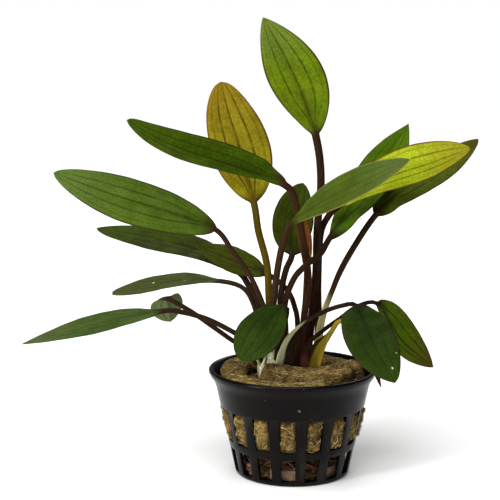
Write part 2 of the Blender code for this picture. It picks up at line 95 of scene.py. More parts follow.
# Net pot, as its solid has it
BASE_RADIUS = 18.9
WALL_DRAFT_DEG = 11.6
WALL = 1.0
FLOOR = 1.2
LIP_HEIGHT = 4.8
BAND_STEP = 0.4
WINDOW_COLUMNS = 16
WINDOW_SHARE = 0.6
FIRST_BAR_DEG = -84.25
LOWER_WINDOW = (1.5, 9.3)
UPPER_WINDOW = (11.8, 22.8)
HUB_RADIUS = 7.5
FLOOR_SLOT_RADIUS = 16.0
BAR_STEPS = 2
WINDOW_STEPS = 4
EDGE_SEGMENTS = 2
EDGE_ANGLE_DEG = 40

# Leaf meshes
CURVE_STEPS = 12
RING_POINTS = 56
STALK_RING_EVERY = 1.6
BLADE_RING_EVERY = 0.75
FEWEST_STALK_RINGS = 10
FEWEST_BLADE_RINGS = 24
STALK_TO_BLADE = 0.16
TIP_HALF_WIDTH = 0.15
TIP_FLATTENING = 0.6
STALK_FOOT = WOOL_TOP + 0.8
SHEATH_FOLD_DEG = 42
SHEATH_FLATTENING = 0.85
SHEATH_THICKNESS = 1.2
GROOVE_REACH = 0.9
RIB_REACH = 0.8
SWELLING_PITCH = 0.47
MARGIN_THINNING = 0.72
WAVES_ALONG_BLADE = 2.5
WAVE_HEIGHT = 0.08

# Veins in the leaf skin. A long vein has its place across half a blade, its thickness and its strength.
LONG_VEINS = ((0.42, 0.07, 0.95), (0.76, 0.05, 0.45))
CROSS_VEINS_PER_MM = 4.6
CROSS_VEIN_SLANT = 0.22
NET_CELLS_PER_MM = 0.8
LEAF_IOR = 1.3

# Crowns: how wide the bulb is, as shares of its radius, at shares of its height
CROWN_RINGS = 30
CROWN_SIDES = 48
CROWN_HEIGHTS = [0, 0.12, 0.32, 0.5, 0.68, 0.85, 1]
CROWN_WIDTHS = [0.6, 0.88, 1.0, 1.0, 0.86, 0.6, 0.3]

# Rock wool
FIBRE_SIDES = 3
FIBRE_POINTS = 6
STRIP_RINGS = 60
STRIP_SIDES = 36
BLOCK_RINGS = 64
BLOCK_SIDES = WINDOW_COLUMNS * 14
WAD_TOP = 5.0
# Below this height the block's wool gets painted shade, almost black, behind the lower windows.
PAINTED_SHADE_TOP = 10.6

# Roots
ROOTS_IN_BUNDLE = 9
CROWN_ROOTLETS = 7
ROOTLET_RADIUS = 0.14

# Stage, in metres
FLOOR_HALF = 3.0
PLANT_MIDDLE = (-0.01, 0, 0.07)
KEY_PLACE = (-0.25, -0.5, 1.0)
BACK_PLACE = (0.15, 0.7, 0.7)
BACK_SIZE = 0.6
STRIP_PLACE = (-0.62, -0.5, 0.2)
STRIP_TARGET = (0, 0, 0.03)
STRIP_WIDTH = 0.05
STRIP_LENGTH = 0.5
SENSOR_WIDTH = 36


class Leaf(NamedTuple):
    """A leaf by its stalk, its midrib, its greatest width and where its upper face looks."""

    name: str
    look: str
    slot: str
    stalk: list
    midrib: list
    width: float
    faces: tuple
    lean: float = 0.0
    stalk_radius: float = 1.0
    fold_deg: float = 12.0
    widest: float = 0.45
    skew: float = 0.0
    base_fullness: float = 0.6
    fullness: float = 0.75
    sheath: float = 0.0
    sheath_top: float = -0.45
    sheath_faces: tuple = (0, 1, 0)
    margin: str = "sheath_pale"
    margin_side: int = 1
    margin_from: float = 0.25
    margin_top: float = 0.0
    nicks: tuple = ()


LEAVES = [
    Leaf(
        "leaf_top", "fresh", "leaf_green",
        stalk=[
            (4.6, 6.3, STALK_FOOT), (6.7, 5.8, 52.5), (7.9, 6.5, 65), (8.3, 7.8, 80), (9.5, 9.5, 97),
            (7.8, 11, 111),
        ],
        midrib=[(2.8, 15.5, 126), (-2.8, 19.5, 138), (-9.7, 23, 150.3)],
        width=19.2, faces=(0.1, -1, 0.2), lean=0.03, stalk_radius=1.3, widest=0.47, skew=-0.02,
        base_fullness=0.82, fullness=0.8,
        sheath=2.0, sheath_top=-0.7, margin="sheath_red",
    ),
    Leaf(
        "leaf_gold", "gold", "leaf_gold",
        stalk=[(-5.2, 2.7, STALK_FOOT), (-7.6, 3, 55), (-8.4, 8, 68), (-11.3, 15, 79), (-12.8, 20, 88)],
        midrib=[(-18, 28, 107), (-21.6, 33, 118), (-24.4, 38, 128.6)],
        width=20.5, faces=(0, -1, 0.35), lean=0.03, stalk_radius=1.2, fold_deg=8, widest=0.43,
        skew=-0.015, base_fullness=0.72, fullness=0.52,
    ),
    Leaf(
        "leaf_left_high", "deep", "leaf_dark",
        stalk=[
            (2.4, -0.9, STALK_FOOT), (3.7, -1.2, 52), (5.0, -1.5, 65), (3.2, -2, 78), (0.8, -3, 89.6),
            (-2.8, -5, 96.2),
        ],
        midrib=[(-18.9, -10, 102.4), (-35, -16, 108.3), (-44.4, -20, 112.8), (-51.7, -23, 117.8)],
        width=13.4, faces=(0.3, -0.68, 0.7), lean=0.04, stalk_radius=1.15, fold_deg=26, widest=0.52,
        skew=-0.1, base_fullness=0.45, fullness=0.52,
    ),
    Leaf(
        "leaf_left_broad", "moss", "leaf_green",
        stalk=[
            (-6.9, -0.9, 44.1), (-8.3, -3, 51), (-9.9, -3.2, 57), (-14, -4, 66.3), (-19.6, -5, 74.4),
            (-25.2, -7, 82.1),
        ],
        midrib=[(-38, -10.5, 87.5), (-57, -15, 94), (-75.2, -18, 101.2)],
        width=17.7, faces=(0.2, -0.77, 0.68), lean=-0.06, stalk_radius=0.85, fold_deg=4, widest=0.5,
        base_fullness=0.5, fullness=0.62,
    ),
    Leaf(
        "leaf_left_dark", "shadow", "leaf_dark",
        stalk=[
            (-7.4, 2.3, STALK_FOOT), (-9.9, 2.2, 51), (-11.8, 4, 56.5), (-15, 10.5, 61.6),
            (-18.5, 15, 65),
        ],
        midrib=[(-31, 21, 70.9), (-49, 27.5, 74.7), (-68.2, 34, 77.3)],
        width=17.5, faces=(0.28, -0.42, 0.9), lean=-0.07, stalk_radius=1.05, fold_deg=8, widest=0.5,
        base_fullness=0.65, fullness=0.62,
    ),
    Leaf(
        "leaf_left_olive", "olive", "leaf_dark",
        stalk=[
            (2.4, 4.7, STALK_FOOT), (1.8, 5.6, 49), (1.2, 6.8, 53), (-0.6, 8.7, 58), (-3.8, 10.6, 61.6),
            (-8.7, 12, 64.6),
        ],
        midrib=[(-17.5, 12.3, 67.9), (-25, 12.6, 71), (-32.5, 13, 73.9)],
        width=13, faces=(0.3, -0.58, 0.8), lean=0.05, stalk_radius=0.9, fold_deg=5, base_fullness=0.6,
    ),
    Leaf(
        "leaf_centre_dark", "shadow", "leaf_dark",
        stalk=[(-2.9, 1.4, STALK_FOOT), (-4.0, 2.2, 54), (-3.5, 4, 61), (-2, 7, 67), (0, 9, 71.5)],
        midrib=[(0, 12, 79), (1.2, 14, 87), (3.8, 16, 95.0)],
        width=14.0, faces=(0, -1, 0.2), stalk_radius=1.05, base_fullness=0.5, fullness=0.6,
    ),
    Leaf(
        "leaf_right_front", "silvered", "leaf_green",
        stalk=[
            (-4.8, -2.3, 44.1), (-6.6, -5, 50.5), (-6.5, -6.2, 57.5), (-5.1, -8, 70), (-3.3, -10, 79),
            (-0.9, -11, 84.4),
        ],
        midrib=[(8.9, -15, 92), (20, -19, 98.3), (34.6, -24, 105.7)],
        width=16, faces=(-0.4, -0.5, 0.8), stalk_radius=1.1, fold_deg=4, widest=0.5, base_fullness=0.8,
        fullness=0.65,
    ),
    Leaf(
        "leaf_right_back", "vivid", "leaf_green",
        stalk=[
            (-2.2, -1.6, STALK_FOOT), (-2.4, -3.4, 48), (-2.7, -5, 57.5), (0.2, -6, 66),
            (4.7, -5, 70.7), (8.9, -1, 73.2), (12.2, 4, 77.8),
        ],
        midrib=[(18.9, 14.5, 85.8), (29, 27, 97.8), (41.9, 39, 113.8)],
        width=18.4, faces=(-0.5, -0.7, 0.5), lean=0.26, stalk_radius=1.0, widest=0.58, skew=-0.06,
        base_fullness=0.45, fullness=0.92,
    ),
    Leaf(
        "leaf_right_lime", "lime", "leaf_lime",
        stalk=[
            (7.7, 4.7, STALK_FOOT), (8.9, 7.7, 50), (8.9, 9.9, 60), (9.2, 10.6, 73), (10, 10.6, 80),
            (12.3, 9.4, 84.8), (14.9, 8.3, 87.6),
        ],
        midrib=[(26.8, 4, 95.8), (35, 1.5, 99.5), (44.3, -1.5, 102.9), (56.2, -7, 108)],
        width=17, faces=(-0.26, -0.71, 0.73), lean=-0.08, stalk_radius=1.1, fold_deg=17, widest=0.56,
        base_fullness=0.7, fullness=0.65,
    ),
    Leaf(
        "leaf_right_dark", "bronze", "leaf_dark",
        stalk=[
            (8.6, 1.6, STALK_FOOT), (9.6, 2.4, 49.5), (14.1, 5, 62.6), (20, 9, 73), (28.4, 14, 84.5),
        ],
        midrib=[(36.7, 17, 91.6), (50.6, 20, 100), (64, 24, 109.3)],
        width=16.5, faces=(-0.35, -0.55, 0.75), lean=0.08, stalk_radius=1.05, base_fullness=0.5,
        fullness=0.65,
        sheath=3.8, sheath_top=-0.28, sheath_faces=(0.2, -1, 0), margin="sheath_straw",
        margin_from=-0.5, margin_top=-0.5,
    ),
    Leaf(
        "leaf_droop_front", "forest", "leaf_dark",
        stalk=[
            (-3.4, -4.8, STALK_FOOT), (-1.7, -6.0, 43.5), (2.3, -7, 50), (8.8, -9, 55.1),
            (15.7, -12, 58.2), (19.7, -14.5, 58.6),
        ],
        midrib=[(22.1, -23, 54), (24.7, -33, 48), (29.3, -42, 40.3)],
        width=16.5, faces=(0.1, -0.7, 0.7), lean=0.08, stalk_radius=0.75, fold_deg=6, widest=0.5,
        base_fullness=0.4, fullness=0.65,
        sheath=4.6, sheath_top=-0.42, sheath_faces=(0.3, 1, 0.2), margin_side=-1, margin_from=0.05,
        nicks=((0.86, -0.35, 0.45), (0.72, -0.8, 0.3)),
    ),
    Leaf(
        "leaf_droop_right", "striped", "leaf_green",
        stalk=[
            (2.6, -5.4, STALK_FOOT), (4.4, -5.2, 43), (9.2, -3.2, 47.6), (15.3, 0, 51.4),
            (22.4, 3, 55.5), (28.2, 4, 55.9),
        ],
        midrib=[(32.6, 7, 49), (37.7, 9, 41.6), (48.2, 10.5, 32.7)],
        width=15.5, faces=(0.45, -0.65, 0.6), lean=-0.15, stalk_radius=0.7, widest=0.5,
        base_fullness=0.56,
        sheath=2.7, sheath_top=-0.55, sheath_faces=(0, 1, 0.2), margin="sheath_red", margin_from=-1.3,
        margin_top=-0.72,
    ),
    Leaf(
        "leaf_droop_left", "forest", "leaf_dark",
        stalk=[
            (-5.9, -4.7, STALK_FOOT), (-4.8, -6.6, 45), (-3.2, -8, 51), (-2.3, -9.2, 55.8),
            (-3, -10.4, 57.4),
        ],
        midrib=[(-6.4, -14, 55.8), (-10.3, -18.5, 51.5), (-17, -24, 43)],
        width=15.3, faces=(-0.15, -0.7, 0.7), lean=-0.02, fold_deg=6, widest=0.58, base_fullness=0.5,
        fullness=0.55,
    ),
    Leaf(
        "leaf_left_narrow", "grey", "leaf_green",
        stalk=[
            (-9.0, 0.8, STALK_FOOT), (-11.5, -1.8, 50), (-13.1, -1.8, 57), (-16.4, -1, 62),
            (-23.3, 0, 64),
        ],
        midrib=[(-35, 4, 63.8), (-47.6, 8, 61.5), (-60.7, 12, 58.3)],
        width=16, faces=(0, -0.24, 1), lean=-0.1, stalk_radius=0.8, fold_deg=5, widest=0.6,
        base_fullness=0.6, fullness=0.5,
        nicks=((0.62, 0.1, 0.4), (0.32, -0.2, 0.35)),
    ),
    Leaf(
        "leaf_left_low", "dusky", "leaf_green",
        stalk=[
            (-8.3, -3.8, STALK_FOOT), (-9.9, -4.4, 35.7), (-14, -6.2, 44.4), (-19, -8.3, 48.4),
            (-28, -12, 53.8), (-36.4, -15, 56.7), (-41.6, -18, 57.5),
        ],
        midrib=[(-55.5, -24, 56), (-69.5, -29, 53.2), (-83.3, -34, 50.4)],
        width=13, faces=(0, -0.25, 0.95), stalk_radius=0.85, fold_deg=4, base_fullness=0.8,
        fullness=0.85,
        sheath=2.2, sheath_top=-0.68, sheath_faces=(0.3, 0.8, 0.6), margin="sheath_straw",
        margin_side=-1,
    ),
    Leaf(
        "leaf_left_curled", "curled", "leaf_green",
        stalk=[
            (-9.3, -1.3, STALK_FOOT), (-10.6, -1.7, 35), (-15.7, -2.6, 42.1), (-19.7, -4, 44.9),
            (-27, -6, 50.6), (-33.6, -7, 55.5), (-40.7, -7, 59.5),
        ],
        midrib=[(-41.2, -3.5, 57.6), (-40.9, 1, 53.6), (-40.6, 5, 49.6)],
        width=11.2, faces=(-0.35, 0.45, 0.8), lean=-0.02, stalk_radius=0.8, fold_deg=15, widest=0.5,
        base_fullness=0.36, fullness=0.6,
    ),
    Leaf(
        "leaf_young_orange", "young", "leaf_young",
        stalk=[
            (1.4, 2.4, STALK_FOOT), (1.6, 2.4, 42), (3.4, 1.9, 50), (4.1, 2.4, 57.4), (4.5, 3.4, 68),
        ],
        midrib=[(4, 4, 76), (3, 5, 83), (2.1, 6, 89)],
        width=5, faces=(0.3, -1, 0.1), stalk_radius=0.8, fold_deg=25,
    ),
    Leaf(
        "leaf_withered", "withered", "leaf_withered",
        stalk=[
            (6.2, -2.2, STALK_FOOT), (8.7, -3.4, 41), (10.6, -4.6, 45), (12.7, -6.2, 49),
            (15.2, -8.4, 52.4),
        ],
        midrib=[(19.6, -12, 50.2), (23.8, -16, 43), (27.4, -20, 33.4)],
        width=4.5, faces=(0.4, -0.6, 0.6), stalk_radius=0.8, fold_deg=30, base_fullness=0.7,
        sheath=5.4, sheath_top=-0.05, sheath_faces=(0, 1, 0.3), margin="sheath_dark", margin_side=-1,
    ),
]


class Look(NamedTuple):
    """The colours of one kind of leaf."""

    title: str
    tissue: str
    shade: str
    tip: str
    vein: str
    edge: str
    stalk: str
    vein_strength: float = 0.7
    glow: float = 0.0
    smear: float = 0.5
    gloss: float = 0.05


LOOKS = {
    "fresh": Look(
        "Fresh green", "#76900f", "#617a0b", "#7a8e3c", "#36300c", "#44300e", "#3b2616", 0.8, 0.3,
    ),
    "gold": Look("Old gold", "#9d931d", "#867a14", "#9a7c1e", "#463a04", "#804f18", "#6a5410", 1.0, 0.3),
    "deep": Look("Deep green", "#445a08", "#344a02", "#4a640e", "#1b1e06", "#33240c", "#3a2214", 0.65),
    "moss": Look("Moss green", "#577022", "#476016", "#617836", "#2a2e0a", "#3c3618", "#3a2818", 0.75),
    "shadow": Look("Shaded green", "#384406", "#2c3604", "#36460e", "#1a1c06", "#2a220c", "#2e1e12", 0.65),
    "olive": Look("Olive", "#4c540a", "#3c4406", "#3e460f", "#26220a", "#3e2c10", "#342012", 0.75),
    # Silvered green: the greyer tip colour is painted sheen that greys the blade towards its tip.
    "silvered": Look(
        "Silvered green", "#475914", "#3b4b0c", "#52632e", "#303812", "#7c6c40", "#34220f", 0.6,
        gloss=0.1,
    ),
    "vivid": Look("Vivid green", "#4a6602", "#3a5602", "#4e6a08", "#1c2804", "#342c0e", "#2c1c10", 0.75),
    "lime": Look(
        "Backlit lime", "#c0ce28", "#a8b81a", "#a6942a", "#4c5408", "#7a5418", "#3a2614", 0.85, 0.35,
    ),
    "bronze": Look("Bronze green", "#566414", "#46530c", "#40350f", "#222406", "#3e2a12", "#3a2616", 0.7),
    "forest": Look(
        "Forest green", "#263a04", "#1c2e02", "#2c400c", "#121804", "#2a2610", "#22150c", 0.6,
        gloss=0.08,
    ),
    "striped": Look(
        "Striped green", "#4e6206", "#3e5404", "#54401a", "#161c04", "#3e2c12", "#24170c", 0.95,
    ),
    "grey": Look(
        "Grey green", "#50592d", "#424c22", "#464e26", "#2f361a", "#444424", "#302214", 0.6, gloss=0.08,
    ),
    "dusky": Look(
        "Dusky green", "#42571f", "#35481a", "#555f38", "#252e12", "#3c4220", "#302214", 0.6,
        gloss=0.08,
    ),
    "curled": Look(
        "Curled green", "#5c6a2c", "#4a5622", "#56622a", "#22280e", "#464424", "#302214", 0.95,
        gloss=0.08,
    ),
    "young": Look(
        "Young orange", "#90582c", "#70401c", "#6a3e18", "#442410", "#5a3212", "#6a3e1a", 0.5, 0.3
    ),
    "withered": Look("Withered", "#7a4a20", "#5c2f16", "#3f1d12", "#3a1f10", "#4a2413", "#a08a26", 0.4),
}


def tone(code):
    """A linear colour from a screen colour such as #6d8f16."""
    shares = [int(code[i : i + 2], 16) / 255 for i in (1, 3, 5)]
    return (*[c / 12.92 if c <= 0.04045 else ((c + 0.055) / 1.055) ** 2.4 for c in shares], 1.0)


def colour_property(name, description, code):
    return bpy.props.FloatVectorProperty(
        name=name, description=description, subtype="COLOR", size=4, min=0, max=1, default=tone(code)
    )


def length_property(name, description, millimetres):
    return bpy.props.FloatProperty(
        name=name, description=description, default=millimetres * MM, min=0, unit="LENGTH", precision=5
    )


def share_property(name, description, default):
    return bpy.props.FloatProperty(
        name=name, description=description, default=default, min=0, max=1, subtype="FACTOR"
    )


def count_property(name, description, default):
    return bpy.props.IntProperty(name=name, description=description, default=default, min=0)


def look_settings(key, look):
    """A property group that holds one leaf look's colours."""
    fields = {
        "tissue": colour_property("Tissue", "Colour between the veins", look.tissue),
        "shade": colour_property("Shade", "Darker patches in the tissue", look.shade),
        "tip": colour_property("Tip", "Colour towards the leaf's tip", look.tip),
        "vein": colour_property("Veins", "Colour of the midrib and the long veins", look.vein),
        "edge": colour_property("Edge", "Thin line along the margin", look.edge),
        "stalk": colour_property("Stalk", "Colour of the leaf's stalk", look.stalk),
        "vein_strength": share_property("Vein strength", "How clear the veins are", look.vein_strength),
        "glow": share_property("Glow", "Share of the light that passes through the blade", look.glow),
        "smear": share_property("Smear", "Darkening beside the midrib near the blade's base", look.smear),
        "gloss": share_property("Gloss", "Specular level of the leaf's wax", look.gloss),
    }
    return type(f"SWORD_PG_{key}", (bpy.types.PropertyGroup,), {"__annotations__": fields})


LOOK_CLASSES = {key: look_settings(key, look) for key, look in LOOKS.items()}


class SWORD_PG_leaves(bpy.types.PropertyGroup):
    thickness: length_property("Blade thickness", "Thickness of a blade beside its midrib", 0.45)
    rib_height: length_property("Rib height", "How far the midrib stands out under the blade", 0.55)
    groove: length_property("Midrib groove", "Depth of the groove along the midrib on top", 0.22)
    quilting: length_property("Quilting", "How far the tissue swells between the veins", 0.13)
    roughness: share_property("Roughness", "Roughness of the waxy leaf surface", 0.55)
    sheath_pale: colour_property("Pale sheath", "Whitish green edge of a stalk's sheath", "#bcb88c")
    sheath_straw: colour_property("Straw sheath", "Dry straw edge of a stalk's sheath", "#b5a872")
    sheath_red: colour_property("Red sheath", "Reddish brown edge of a stalk's sheath", "#4a2624")
    sheath_dark: colour_property("Dark sheath", "Dark edge of the withered leaf's sheath", "#241a0c")
    nick: colour_property("Nick", "Pale scar where the tissue is torn", "#b9b98c")
    underside: colour_property("Underside", "Paler tint of the blades' undersides", "#7c8a5c")
    stalk_shade: colour_property("Stalk shade", "Dark streaks along the stalks", "#120c08")
    # Pale streaks along the stalks: partly the stalks' own streaks, partly painted highlight.
    stalk_streak_and_highlight: colour_property("Stalk streaks", "Pale streaks along the stalks", "#7a5434")


class SWORD_PG_crown(bpy.types.PropertyGroup):
    pale: colour_property("Bulb", "Pale tissue of the crown", "#d8dabc")
    green: colour_property("Green tinge", "Greenish streaks in the pale tissue", "#8c9a58")
    scale: colour_property("Scales", "Dry leaf bases on the crown's right", "#8a745c")
    brown: colour_property("Old scales", "Brown of the oldest leaf bases", "#40301f")
    bulge: length_property("Bulb radius", "Radius of the larger crown at its widest", 4.4)


class SWORD_PG_wool(bpy.types.PropertyGroup):
    # Painted shade: the near-black colour that darkens the wool behind the lower windows.
    hollow_painted_shade: colour_property("Hollow", "Dark hollows behind the lower windows", "#120b06")
    dark: colour_property("Shadowed wool", "Wool deep between the fibres", "#2a1e0e")
    middle: colour_property("Wool", "Middle tone of the rock wool", "#7d6636")
    pale: colour_property("Pale fibres", "Lightest fibres", "#e0c27a")
    wad: colour_property("Lower wad", "Pinkish wad behind the lower windows", "#7d6552")
    fibre_radius: length_property("Fibre radius", "Radius of one tuft of fibres", 0.075)
    strip_fibres: count_property("Fibres on a strip", "Number of fibres laid on each loose strip", 3600)
    block_fibres: count_property("Fibres on the block", "Number of fibres on the block", 5200)


class SWORD_PG_roots(bpy.types.PropertyGroup):
    bark: colour_property("Root", "Colour of an old root", "#2c180c")
    fresh: colour_property("Fresh root", "Colour of a young root", "#7c4a24")
    ring: colour_property("Root rings", "Dark rings on the roots", "#2a140a")
    radius: length_property("Root radius", "Radius of the thicker roots", 0.5)


class SWORD_PG_pot(bpy.types.PropertyGroup):
    plastic: colour_property("Plastic", "Colour of the moulded plastic", "#080605")
    dust: colour_property("Dust", "Dried film on the plastic", "#3a342c")
    speck: colour_property("Specks", "Pale specks of dried water", "#857e72")
    roughness: share_property("Roughness", "Roughness of the moulded plastic", 0.3)
    edge_radius: length_property("Edge radius", "Rounding of the pot's edges", 0.22)


class SWORD_PG_stage(bpy.types.PropertyGroup):
    floor: colour_property("Floor", "Colour of the floor", "#ffffff")
    camera_place: bpy.props.FloatVectorProperty(
        name="Camera", description="Place of the camera", subtype="TRANSLATION", unit="LENGTH", size=3,
        default=(-0.0141, -0.420, 0.1342),
    )
    camera_pitch: bpy.props.FloatProperty(
        name="Camera pitch", description="How far the camera looks down",
        default=math.radians(8.1), subtype="ANGLE",
    )
    lens: bpy.props.FloatProperty(
        name="Lens", description="Focal length in mm on a 36 mm sensor", default=93.17
    )
    key: bpy.props.FloatProperty(
        name="Key light", description="Strength of the main light, in W/m²", default=3.6
    )
    key_spread: bpy.props.FloatProperty(
        name="Key softness", description="How wide the main light is",
        default=math.radians(70), subtype="ANGLE",
    )
    strip: bpy.props.FloatProperty(
        name="Strip light", description="Power of the narrow light at the left, in W", default=4
    )
    back: bpy.props.FloatProperty(
        name="Back light", description="Power of the light behind, in W", default=3
    )
    sky: bpy.props.FloatProperty(
        name="Room light", description="Strength of the light all round", default=0.12
    )


def blend(a, b, share):
    return a + (b - a) * share


def ease(share):
    share = np.clip(share, 0.0, 1.0)
    return share * share * (3 - 2 * share)


def unit(vectors):
    return vectors / np.linalg.norm(vectors, axis=-1, keepdims=True)


def smooth_curve(points):
    """Points along a smooth curve that passes through the points given."""
    points = np.array(points, float)
    ends = np.vstack([2 * points[0] - points[1], points, 2 * points[-1] - points[-2]])
    t = (np.arange(CURVE_STEPS) / CURVE_STEPS)[:, None]
    spans = []
    for a, b, c, d in zip(ends, ends[1:], ends[2:], ends[3:]):
        bend = 2 * a - 5 * b + 4 * c - d
        twist = 3 * b - a - 3 * c + d
        spans.append(0.5 * (2 * b + (c - a) * t + bend * t**2 + twist * t**3))
    return np.vstack([*spans, points[-1:]])


def walk(curve, shares):
    """Points and directions at shares of a curve's length."""
    steps = np.linalg.norm(np.diff(curve, axis=0), axis=1)
    along = np.concatenate([[0], np.cumsum(steps)]) / steps.sum()
    headings = unit(np.gradient(curve, along, axis=0))
    points = np.stack([np.interp(shares, along, curve[:, i]) for i in range(3)], axis=1)
    directions = np.stack([np.interp(shares, along, headings[:, i]) for i in range(3)], axis=1)
    return points, unit(directions)


def length_of(curve):
    return np.linalg.norm(np.diff(curve, axis=0), axis=1).sum()


def ring_quads(rings, points):
    """Quads between rings that have the same number of points."""
    row = np.arange(rings - 1)[:, None] * points
    here = np.arange(points)[None, :]
    after = (here + 1) % points
    next_row = row + points
    return np.stack([row + here, row + after, next_row + after, next_row + here], axis=-1).reshape(-1, 4)


def capped_tube(rings, points):
    """Faces of a tube of rings with a flat face at each end."""
    last = (rings - 1) * points
    ends = [list(range(points))[::-1], list(range(last, last + points))]
    return ring_quads(rings, points).tolist() + ends


def add_piece(name, points, faces, skin, replaced=(), values=None):
    """Makes a mesh piece from millimetre points, with its shading values, on the plant's body."""
    mesh = bpy.data.meshes.new(name)
    places = (np.asarray(points, float) * MM).tolist()
    mesh.from_pydata(places, [], [list(map(int, face)) for face in faces])
    for key, numbers in (values or {}).items():
        attribute = mesh.attributes.new(key, "FLOAT", "POINT")
        attribute.data.foreach_set("value", np.asarray(numbers, np.float32).ravel())
    mesh.shade_smooth()
    mesh.validate()
    piece = bpy.data.objects.new(name, mesh)
    bpy.context.scene.collection.objects.link(piece)
    mesh.materials.append(skin)
    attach(piece, BODY)
    if replaced:
        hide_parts(*replaced)
    return piece


class Paint:
    """A material's node tree, with short ways to add what a surface needs."""

    def __init__(self, name):
        self.material = bpy.data.materials.new(name)
        self.material.use_nodes = True
        self.tree = self.material.node_tree
        self.shader = self.tree.nodes["Principled BSDF"]
        self.output = self.tree.nodes["Material Output"]

    def add(self, kind, sockets=None, **options):
        node = self.tree.nodes.new(f"ShaderNode{kind}")
        for key, value in options.items():
            setattr(node, key, value)
        for key, value in (sockets or {}).items():
            self.feed(node.inputs[key], value)
        return node

    def feed(self, socket, value):
        if isinstance(value, bpy.types.NodeSocket):
            self.tree.links.new(value, socket)
        else:
            socket.default_value = value

    def set(self, **values):
        for key, value in values.items():
            self.feed(self.shader.inputs[key.replace("_", " ")], value)

    def number(self, name):
        return self.add("Attribute", attribute_name=name).outputs["Fac"]

    def place(self):
        return self.add("TexCoord").outputs["Object"]

    def maths(self, operation, first, second=0.0):
        return self.add("Math", {0: first, 1: second}, operation=operation).outputs[0]

    def plus(self, first, second):
        return self.maths("ADD", first, second)

    def minus(self, first, second):
        return self.maths("SUBTRACT", first, second)

    def times(self, first, second):
        return self.maths("MULTIPLY", first, second)

    def fade(self, value, start, end, low=0.0, high=1.0):
        """low where value is at start, high where it is at end, and smooth between them."""
        sockets = {"Value": value, "From Min": start, "From Max": end, "To Min": low, "To Max": high}
        return self.add("MapRange", sockets, interpolation_type="SMOOTHSTEP").outputs["Result"]

    def mix(self, share, first, second):
        node = self.add("Mix", data_type="RGBA")
        self.feed(node.inputs[0], share)
        self.feed(node.inputs[6], first)
        self.feed(node.inputs[7], second)
        return node.outputs[2]

    def noise(self, scale, detail=3.0, roughness=0.5, vector=None):
        sockets = {"Scale": scale, "Detail": detail, "Roughness": roughness}
        sockets["Vector"] = self.place() if vector is None else vector
        return self.add("TexNoise", sockets).outputs["Fac"]

    def stretched(self, vector, scale):
        return self.add("Mapping", {"Vector": vector, "Scale": scale}).outputs["Vector"]

    def joined(self, x, y, z=0.0):
        return self.add("CombineXYZ", {"X": x, "Y": y, "Z": z}).outputs["Vector"]

    def bump(self, height, distance, strength):
        sockets = {"Height": height, "Distance": distance, "Strength": strength}
        return self.add("Bump", sockets).outputs["Normal"]

    def let_light_through(self, share, colour):
        """Part of the light passes through the surface, in this colour."""
        through = self.add("BsdfTranslucent", {"Color": colour})
        mixer = self.add("MixShader", {"Fac": share})
        self.tree.links.new(self.shader.outputs[0], mixer.inputs[1])
        self.tree.links.new(through.outputs[0], mixer.inputs[2])
        self.tree.links.new(mixer.outputs[0], self.output.inputs["Surface"])


